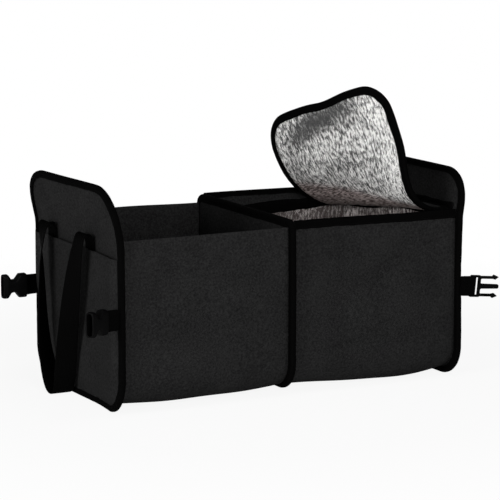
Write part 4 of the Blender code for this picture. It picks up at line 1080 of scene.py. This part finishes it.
def buildLid():
    edge, gap, start, felt, foil = (lid[label] for label in ("edge", "gap", "start", "felt", "foil"))
    foilBelow = normalsOf(lidAt, np.array([0.1]), np.array([0.0]))[0, 2] > 0
    feltDepth, foilDepth = (gap / 2, -gap / 2 - foil) if foilBelow else (-gap / 2 - felt, gap / 2)
    radii = np.array((0.0001, 0.0001) + lid["corners"])
    sheetRadii = np.maximum(radii - edge, 0.0001)
    first, last, high = lid["front"] + edge, lid["back"] - edge, lid["length"] - edge
    u, v = sheetGrid(start, high, first, last, sheetRadii, 90, 80)
    made = sheetPiece("lid_outer_felt", rumpledLid, u, v, feltDepth, felt, "felt", "lid", ["lid_felt"])

    u, v = sheetGrid(start, high, first, last, sheetRadii, 150, 150)
    field = smooth((lid["length"] - u) / 0.02) * smooth((v - lid["front"]) / 0.02)
    field = field * smooth((lid["back"] - v) / 0.02) * smooth(u / 0.012)
    dents = rumple(u, v, 91, 30, 0.010, 0.034, 0.0003) * field * (1.0 if foilBelow else -1.0)
    # the foil's tone: an even level, with the painted reflections and shade laid over it
    tone = np.full_like(u, lid["tone"])
    for (atU, atV), (reachU, reachV), lighter in paintedFoilReflections:
        tone = tone + lighter * np.exp(-((u - atU) / reachU) ** 2 - ((v - atV) / reachV) ** 2)
    warm = smooth((lid["warmFrom"] + lid["warmSlope"] * v - u) / 0.02)
    tone = tone + lid["warmTone"] * warm
    marks = {"tone": tone, "warm": warm, "pulled": warm}
    made = sheetPiece("lid_foil_lining", rumpledLid, u, v, foilDepth, foil, "foil", "lid", ["lid_foil"],
                      lambda a, b: dents, np.stack([u, v], axis=-1), marks)

    arcs = outlineOf(start, lid["length"], lid["front"], lid["back"], radii)
    firstEnd = np.array([[start, lid["front"], 0.0, 1.0]])
    lastEnd = np.array([[start, lid["back"], 0.0, -1.0]])
    outline = joined([lastEnd, arcs[2], arcs[3], firstEnd], False)
    depths = (min(feltDepth, foilDepth) - edge, max(feltDepth + felt, foilDepth + foil) + edge)
    bindingPiece("lid_edge_binding", rumpledLid, outline, depths, lidBinding, False, "lid", ["lid_binding"], 95)
    stitchPiece("lid_stitching", rumpledLid, outline, lidBinding["seam"], depths, "lid")


buildLid()


# Hinge: a rolled hem on the lid's root, and the tape that it is sewn to

hinge = {"x": 0.2576, "z": 0.2460, "first": -0.133, "last": 0.126, "hem": 0.0026, "tapeX": 0.2614,
         "tapeHalf": 0.0085, "tapeThick": 0.0013, "tapeBack": 0.0006}


def lumpyRoll(y, turn):
    # a roll whose radius and middle waver along its length, with puckers round it
    lumps = 0.16 * np.sin(y / 0.0031 + 2 * np.sin(turn)) + 0.1 * np.sin(3 * turn + y / 0.011)
    radius = hinge["hem"] * (1 + lumps)
    x = hinge["x"] + wander(y, 101, (0.041, 0.023), 0.0005) + radius * np.cos(turn)
    z = hinge["z"] + wander(y, 102, (0.05, 0.027), 0.0006) + radius * np.sin(turn)
    return np.stack(np.broadcast_arrays(x, y, z), axis=-1)


def buildHinge():
    along = np.linspace(hinge["first"], hinge["last"], 150)
    y, turn = np.meshgrid(along, np.linspace(0, 2 * np.pi, 24, endpoint=False), indexing="ij")
    strip = np.stack([y, turn * hinge["hem"]], axis=-1)
    tubePiece("lid_root_roll", lumpyRoll(y, turn), "ribbon", "lid", ["lid_root_hem"], strip)

    y, z = np.meshgrid(along, np.linspace(-1.0, 1.0, 14), indexing="ij")
    swell = 0.0006 * (1 - z ** 2) + 0.0003 * np.sin(y / 0.0036 + z)
    x = hinge["tapeX"] - hinge["tapeThick"] - swell
    height = hinge["z"] + z * (hinge["tapeHalf"] + wander(y, 111, (0.07, 0.033), 0.0008))
    front = np.stack([x, y, height], axis=-1)
    back = np.stack([np.full_like(x, hinge["tapeX"] + hinge["tapeBack"]), y, height], axis=-1)
    points, quads, source = shellOf(front, back)
    strip = np.stack([y, height], axis=-1).reshape(-1, 2)[source]
    makePiece("lid_hinge_ribbon", points, quads, "ribbon", "bag", ["lid_hinge_tape"], strip)


buildHinge()
print("made the lid")


# Webbing: the two handles and the four buckle straps

webbing = {"thickness": 0.0015, "handleWidth": 0.030, "strapWidth": 0.0290, "crown": 0.00012}
# points of the right handle, each with how far the webbing is turned there
handleRoute = (
    (0.26825, -0.036, 0.176, 0), (0.26825, -0.036, 0.214, 0), (0.2705, -0.0365, 0.2290, 0),
    (0.2775, -0.0378, 0.2375, 0), (0.2860, -0.0400, 0.2345, 0), (0.2905, -0.0410, 0.2190, 4),
    (0.2915, -0.0355, 0.1990, 10), (0.2918, -0.0280, 0.1740, 19), (0.2916, -0.0190, 0.1410, 30),
    (0.2910, -0.0083, 0.0990, 44), (0.2902, 0.0020, 0.0570, 58), (0.2894, 0.0090, 0.0260, 72),
    (0.2888, 0.0180, 0.0065, 84), (0.2884, 0.0330, 0.0012, 92), (0.2886, 0.0490, 0.0080, 98),
    (0.2892, 0.0640, 0.0300, 108), (0.2902, 0.0730, 0.0580, 120), (0.2910, 0.0775, 0.0880, 128),
    (0.2914, 0.0795, 0.1220, 135), (0.2917, 0.0795, 0.1560, 142), (0.2917, 0.0798, 0.1850, 150),
    (0.2908, 0.0800, 0.2080, 162), (0.2875, 0.0825, 0.2280, 174), (0.2790, 0.0870, 0.2365, 180),
    (0.2710, 0.0900, 0.2295, 180), (0.26825, 0.0910, 0.215, 180), (0.26825, 0.0910, 0.176, 180))


def smoothPath(points, steps):
    # a curve through the points, each piece a cubic whose slopes come from the neighbours
    p = np.concatenate([points[:1], points, points[-1:]])
    a, b, c, d = (p[k:len(p) - 3 + k, None] for k in range(4))
    t = np.linspace(0.0, 1.0, steps, endpoint=False)[None, :, None]
    curve = 0.5 * (2 * b + (c - a) * t + (2 * a - 5 * b + 4 * c - d) * t ** 2
                   + (3 * b - a - 3 * c + d) * t ** 3)
    return np.concatenate([curve.reshape(-1, points.shape[1]), points[-1:]])


def stripAlong(name, centre, across, width, nodes):
    # a woven strip: a flat section with round edges carried along a path, pointing across it
    along = np.gradient(centre, axis=0)
    along /= np.linalg.norm(along, axis=1, keepdims=True)
    across = across - along * (across * along).sum(axis=1, keepdims=True)
    across /= np.linalg.norm(across, axis=1, keepdims=True)
    up = np.cross(along, across)
    half, rounding = width / 2, webbing["thickness"] / 2
    turn = np.linspace(-np.pi / 2, np.pi / 2, 5)[1:-1]
    flatRun = np.linspace(-1.0, 1.0, 11) * (half - rounding)
    crown = webbing["crown"] * np.cos(np.pi * flatRun / width)
    side = np.concatenate([flatRun, half - rounding + rounding * np.cos(turn), flatRun[::-1],
                           -half + rounding - rounding * np.cos(turn)])
    high = np.concatenate([-rounding - crown, rounding * np.sin(turn), rounding + crown[::-1],
                           -rounding * np.sin(turn)])
    points = centre[:, None] + across[:, None] * side[None, :, None] + up[:, None] * high[None, :, None]
    s = runLength(centre)
    strip = np.stack(np.broadcast_arrays(s[:, None], side[None, :]), axis=-1)
    made = tubePiece(name, points, "webbing", "bag", nodes, strip)


def buildHandle(name, side):
    route = smoothPath(np.array(handleRoute), 8)
    turn = np.radians(route[:, 3])
    across = np.stack([-side * np.sin(turn), -np.cos(turn), np.zeros_like(turn)], axis=1)
    centre = route[:, :3] * np.array([side, 1.0, 1.0])
    stripAlong(name + "_hand_strap", centre, across, webbing["handleWidth"], [name + "_handle"])


buildHandle("left", -1)
buildHandle("right", 1)
print("made the handles")


# Buckle straps, each folded round its buckle's bar: pronged halves on the right, hollow ones on the left

strap = {"back": 0.018, "fit": 0.0003}
buckle = {
    "right": {"seamX": 0.2650, "y": 0.1505, "height": 0.135, "droop": 6.0, "tip": 0.3305, "length": 0.0460,
              "barAt": 0.0056, "loop": 0.0028526},
    "left_front": {"start": (-0.2769, -0.1471, 0.1361), "along": (-0.986, 0.169, -0.05),
                   "facing": (-0.855, -0.518, 0.035), "reach": 0.0219, "barAt": 0.0018, "loop": 0.0026056},
    "left_back": {"start": (-0.2690, 0.1505, 0.137), "along": (-1.0, 0.0, 0.0),
                  "facing": (-1.0, 0.0, 0.0), "reach": 0.0185, "barAt": 0.0018, "loop": 0.0026056},
}
plugShape = {"length": 0.0485, "frame": 0.0168, "wide": 0.0310, "thick": 0.0042, "round": 0.0005,
             "chamfer": 0.0015, "inset": 0.0010, "prong": 0.0030, "tongue": 0.0064, "barb": 0.0068,
             "barbDeep": 0.0020, "tipIn": 0.0006, "slotIn": 0.0016,
             "slots": ((0.0026, 0.0048), (0.0074, 0.0140))}
socket = {"length": 0.036, "wide": 0.0352, "thick": 0.0140, "wall": 0.0021, "rounding": 0.0008, "start": 0.0060,
          "power": 0.34, "narrowing": 0.0006,
          # shares of the length, and the width there as a share of the whole width
          "places": (0.0, 0.04, 0.30, 0.47, 0.58, 0.67, 0.78, 0.82, 0.95, 1.0),
          "widths": (0.90, 1.0, 1.0, 0.55, 0.53, 0.57, 0.92, 1.0, 1.0, 0.97)}


def strapPath(length, loop):
    # out to the bar, half round it, and back along the first layer
    gap = webbing["thickness"] + strap["fit"]
    turn = np.linspace(0.0, np.pi, 12)[1:]
    out = np.stack([np.linspace(0.0, length, 12), np.zeros(12)], axis=1)
    bend = np.stack([length + loop * np.sin(turn), loop * (1 - np.cos(turn))], axis=1)
    t = np.linspace(0.0, 1.0, 12)[1:]
    back = np.stack([length - t * strap["back"], 2 * loop + (gap - 2 * loop) * smooth(t / 0.75)], axis=1)
    return np.concatenate([out, bend, back])


def buildStrap(end, start, along, across, length, loop):
    # local axes: along the strap, across it, and up towards the layer that returns
    along = np.array(along) / np.linalg.norm(along)
    across = np.array(across) - along * np.dot(across, along)
    across = across / np.linalg.norm(across)
    up = np.cross(along, across)
    path = strapPath(length, loop)
    centre = np.array(start) + path[:, :1] * along + path[:, 1:] * up
    stripAlong(end + "_buckle_strap", centre, np.tile(across, (len(path), 1)), webbing["strapWidth"],
               [end + "_strap"])
    return along, across, up


def buildSocket(end, start, along, across, up):
    # a tube of rounded oblong sections with a waist; its wall turns in at the mouth and runs back inside
    length, wall, rounding, power = (socket[label] for label in ("length", "wall", "rounding", "power"))
    outside = np.linspace(0.0, length, 60)
    inside = np.linspace(length, socket["start"], 50)
    lip = np.linspace(0.0, np.pi, 7)[1:-1]
    places = np.concatenate([[0.0], outside[1:-1], length + rounding * np.sin(lip) * 0.6, inside[1:-1],
                             [socket["start"]]])
    depth = np.concatenate([[rounding], np.zeros(len(outside) - 2), wall * (1 - np.cos(lip)) / 2,
                            np.full(len(inside) - 2, wall), [wall + rounding]])
    widths = np.interp(places / length, socket["places"], socket["widths"]) * socket["wide"] / 2 - depth
    narrowed = socket["narrowing"] * smooth((places - 0.8 * length) / (0.2 * length))
    heights = socket["thick"] / 2 - depth - narrowed
    turn = np.linspace(0, 2 * np.pi, 56, endpoint=False)
    oblong = np.stack([np.sign(np.cos(turn)) * np.abs(np.cos(turn)) ** power,
                       np.sign(np.sin(turn)) * np.abs(np.sin(turn)) ** (power * 1.6)], axis=1)
    points = (start + places[:, None, None] * along + (widths[:, None] * oblong[:, 0])[..., None] * across
              + (heights[:, None] * oblong[:, 1])[..., None] * up)
    tubePiece(end + "_hollow_half", points, "plastic", "bag", [end + "_socket"])


def buildPlug(end, start, along, across, up):
    # a flat frame with two slots, a middle tongue and two side prongs whose tips are barbed
    name = end + "_pronged_half"
    frameEnd, length, cut, tipIn = (plugShape[label] for label in ("frame", "length", "chamfer", "tipIn"))
    wide = plugShape["wide"] / 2
    outer = wide - plugShape["inset"]
    inner, tongue, deep = outer - plugShape["prong"], plugShape["tongue"] / 2, plugShape["barbDeep"]
    barb = length - cut - plugShape["barb"]
    half = [(0.0, wide - cut), (cut, wide), (frameEnd - cut, wide), (frameEnd, outer), (barb - deep, outer),
            (barb, outer + deep), (length - cut, outer - tipIn), (barb + deep, inner - deep / 2),
            (barb - deep, inner), (frameEnd + cut, inner), (frameEnd, inner - cut), (frameEnd, tongue + cut),
            (frameEnd + cut, tongue), (length - cut, tongue - cut / 3), (length, tongue - cut)]
    outlines = [half + [(a, -b) for a, b in reversed(half)]]
    for first, last in plugShape["slots"]:
        edge = webbing["strapWidth"] / 2 + strap["fit"] - plugShape["slotIn"]
        outlines.append([(first, -edge), (last, -edge), (last, edge), (first, edge)])
    curve = bpy.data.curves.new(name + "_outline", "CURVE")
    curve.dimensions = "2D"
    curve.fill_mode = "BOTH"
    curve.bevel_depth = plugShape["round"]
    curve.extrude = plugShape["thick"] / 2 - plugShape["round"]
    curve.bevel_resolution = 1
    for outline in outlines:
        spline = curve.splines.new("POLY")
        spline.points.add(len(outline) - 1)
        for point, (a, b) in zip(spline.points, outline):
            point.co = (a, b, 0.0, 1.0)
        spline.use_cyclic_u = True
    flat = bpy.data.objects.new(name + "_outline", curve)
    bpy.context.scene.collection.objects.link(flat)
    bpy.context.view_layer.update()
    mesh = bpy.data.meshes.new_from_object(flat.evaluated_get(bpy.context.evaluated_depsgraph_get()))
    bpy.data.objects.remove(flat)
    tidy = bmesh.new()
    tidy.from_mesh(mesh)
    bmesh.ops.remove_doubles(tidy, verts=tidy.verts, dist=0.00002)
    tidy.verts.index_update()
    local = np.array([corner.co[:] for corner in tidy.verts])
    faces = [[corner.index for corner in face.verts] for face in tidy.faces]
    tidy.free()
    bpy.data.meshes.remove(mesh)
    points = start + local[:, :1] * along + local[:, 1:2] * across + local[:, 2:] * up
    makePiece(name, points, np.zeros((0, 4), int), "plastic", "bag", [end + "_plug"], caps=faces)


def buildBuckleStraps():
    for end, row in (("right_front", -1), ("right_back", 1)):
        part = buckle["right"]
        droop = np.radians(part["droop"])
        along = np.array((np.cos(droop), 0.0, -np.sin(droop)))
        across = np.array((np.sin(droop), 0.0, np.cos(droop))) * row
        startX = part["seamX"] + webbing["strapWidth"] / 2 * np.sin(droop)
        length = (part["tip"] - startX) / np.cos(droop) - part["length"] + part["barAt"]
        start = (startX, part["y"] * row, part["height"])
        along, across, up = buildStrap(end, start, along, across, length, part["loop"])
        start = np.array(start) + along * (length - part["barAt"]) + up * part["loop"]
        buildPlug(end, start, along, across, up)
    for end in ("left_front", "left_back"):
        part = buckle[end]
        along, across, up = buildStrap(end, part["start"], part["along"], (0.0, 0.0, -1.0),
                                       part["reach"] + part["barAt"], part["loop"])
        start = np.array(part["start"]) + along * part["reach"] + up * part["loop"]
        facing = np.array(part["facing"]) / np.linalg.norm(part["facing"])
        upright = across - facing * np.dot(across, facing)
        upright = upright / np.linalg.norm(upright)
        buildSocket(end, start, facing, upright, np.cross(facing, upright))


buildBuckleStraps()
print("made the straps")


# CAD nodes that keep their shape

for name in ("left_base_board", "cooler_base_board"):
    bpy.data.objects[name].material_slots[0].material = finish["board"]


# Floor and light

stage = {"floor": 40.0, "white": 0.90, "nearGlow": 0.90, "near": 0.45, "far": 1.1, "world": 0.16}
lamps = {
    "frontLamp": {"place": (-0.7, -3.2, 1.0), "size": 1.3, "power": 62.0},
    "leftLamp": {"place": (-3.1, -0.9, 0.8), "size": 1.3, "power": 62.0},
    "topLamp": {"place": (0.3, -0.6, 2.6), "size": 1.2, "power": 14.0},
}


def glowFor(tree, shader, glow, rays, strength):
    # the glowing shader takes over for the named kinds of ray
    path = addNode(tree, "ShaderNodeLightPath")
    seen = path.outputs[rays[0]]
    for kind in rays[1:]:
        seen = mathOf(tree, "MAXIMUM", seen, path.outputs[kind])
    mixer = addNode(tree, "ShaderNodeMixShader")
    plug(tree, mixer.inputs[0], mathOf(tree, "MULTIPLY", seen, strength))
    tree.links.new(shader, mixer.inputs[1])
    tree.links.new(glow, mixer.inputs[2])
    return mixer.outputs[0]


def buildStage():
    bpy.ops.mesh.primitive_plane_add(size=stage["floor"], location=(0.0, 0.0, 0.0))
    floor = bpy.context.object
    floor.name = "floor"
    made, tree, shader = newMaterial("paleFloor")
    shader["Base Color"].default_value = (stage["white"],) * 3 + (1.0,)
    shader["Roughness"].default_value = 0.9
    away = addNode(tree, "ShaderNodeVectorMath", operation="LENGTH")
    plug(tree, away.inputs[0], addNode(tree, "ShaderNodeTexCoord").outputs["Object"])
    strength = stretched(tree, away.outputs["Value"], stage["near"], stage["far"], stage["nearGlow"], 1.0)
    glow = addNode(tree, "ShaderNodeEmission").outputs[0]
    lit = tree.nodes["Principled BSDF"].outputs[0]
    seen = glowFor(tree, lit, glow, ("Is Camera Ray",), strength)
    tree.links.new(seen, tree.nodes["Material Output"].inputs["Surface"])
    floor.data.materials.append(made)

    world = bpy.data.worlds.new("studio")
    bpy.context.scene.world = world
    world.use_nodes = True
    tree = world.node_tree
    tree.nodes.clear()
    bright, soft = addNode(tree, "ShaderNodeBackground"), addNode(tree, "ShaderNodeBackground")
    bright.inputs["Color"].default_value = (1.0, 1.0, 1.0, 1.0)
    soft.inputs["Color"].default_value = (1.0, 1.0, 1.0, 1.0)
    soft.inputs["Strength"].default_value = stage["world"]
    seen = glowFor(tree, soft.outputs[0], bright.outputs[0], ("Is Camera Ray", "Is Transmission Ray"), 1.0)
    tree.links.new(seen, addNode(tree, "ShaderNodeOutputWorld").inputs["Surface"])


def addLamp(name, settings):
    lamp = bpy.data.lights.new(name, "AREA")
    lamp.size = settings["size"]
    lamp.energy = settings["power"]
    made = bpy.data.objects.new(name, lamp)
    made.location = settings["place"]
    way = np.array((0.0, 0.0, 0.15)) - np.array(settings["place"])
    way = way / np.linalg.norm(way)
    made.rotation_euler = (np.arccos(-way[2]), 0.0, np.arctan2(way[0], -way[1]) + np.pi)
    bpy.context.scene.collection.objects.link(made)


buildStage()
for name, settings in lamps.items():
    addLamp(name, settings)
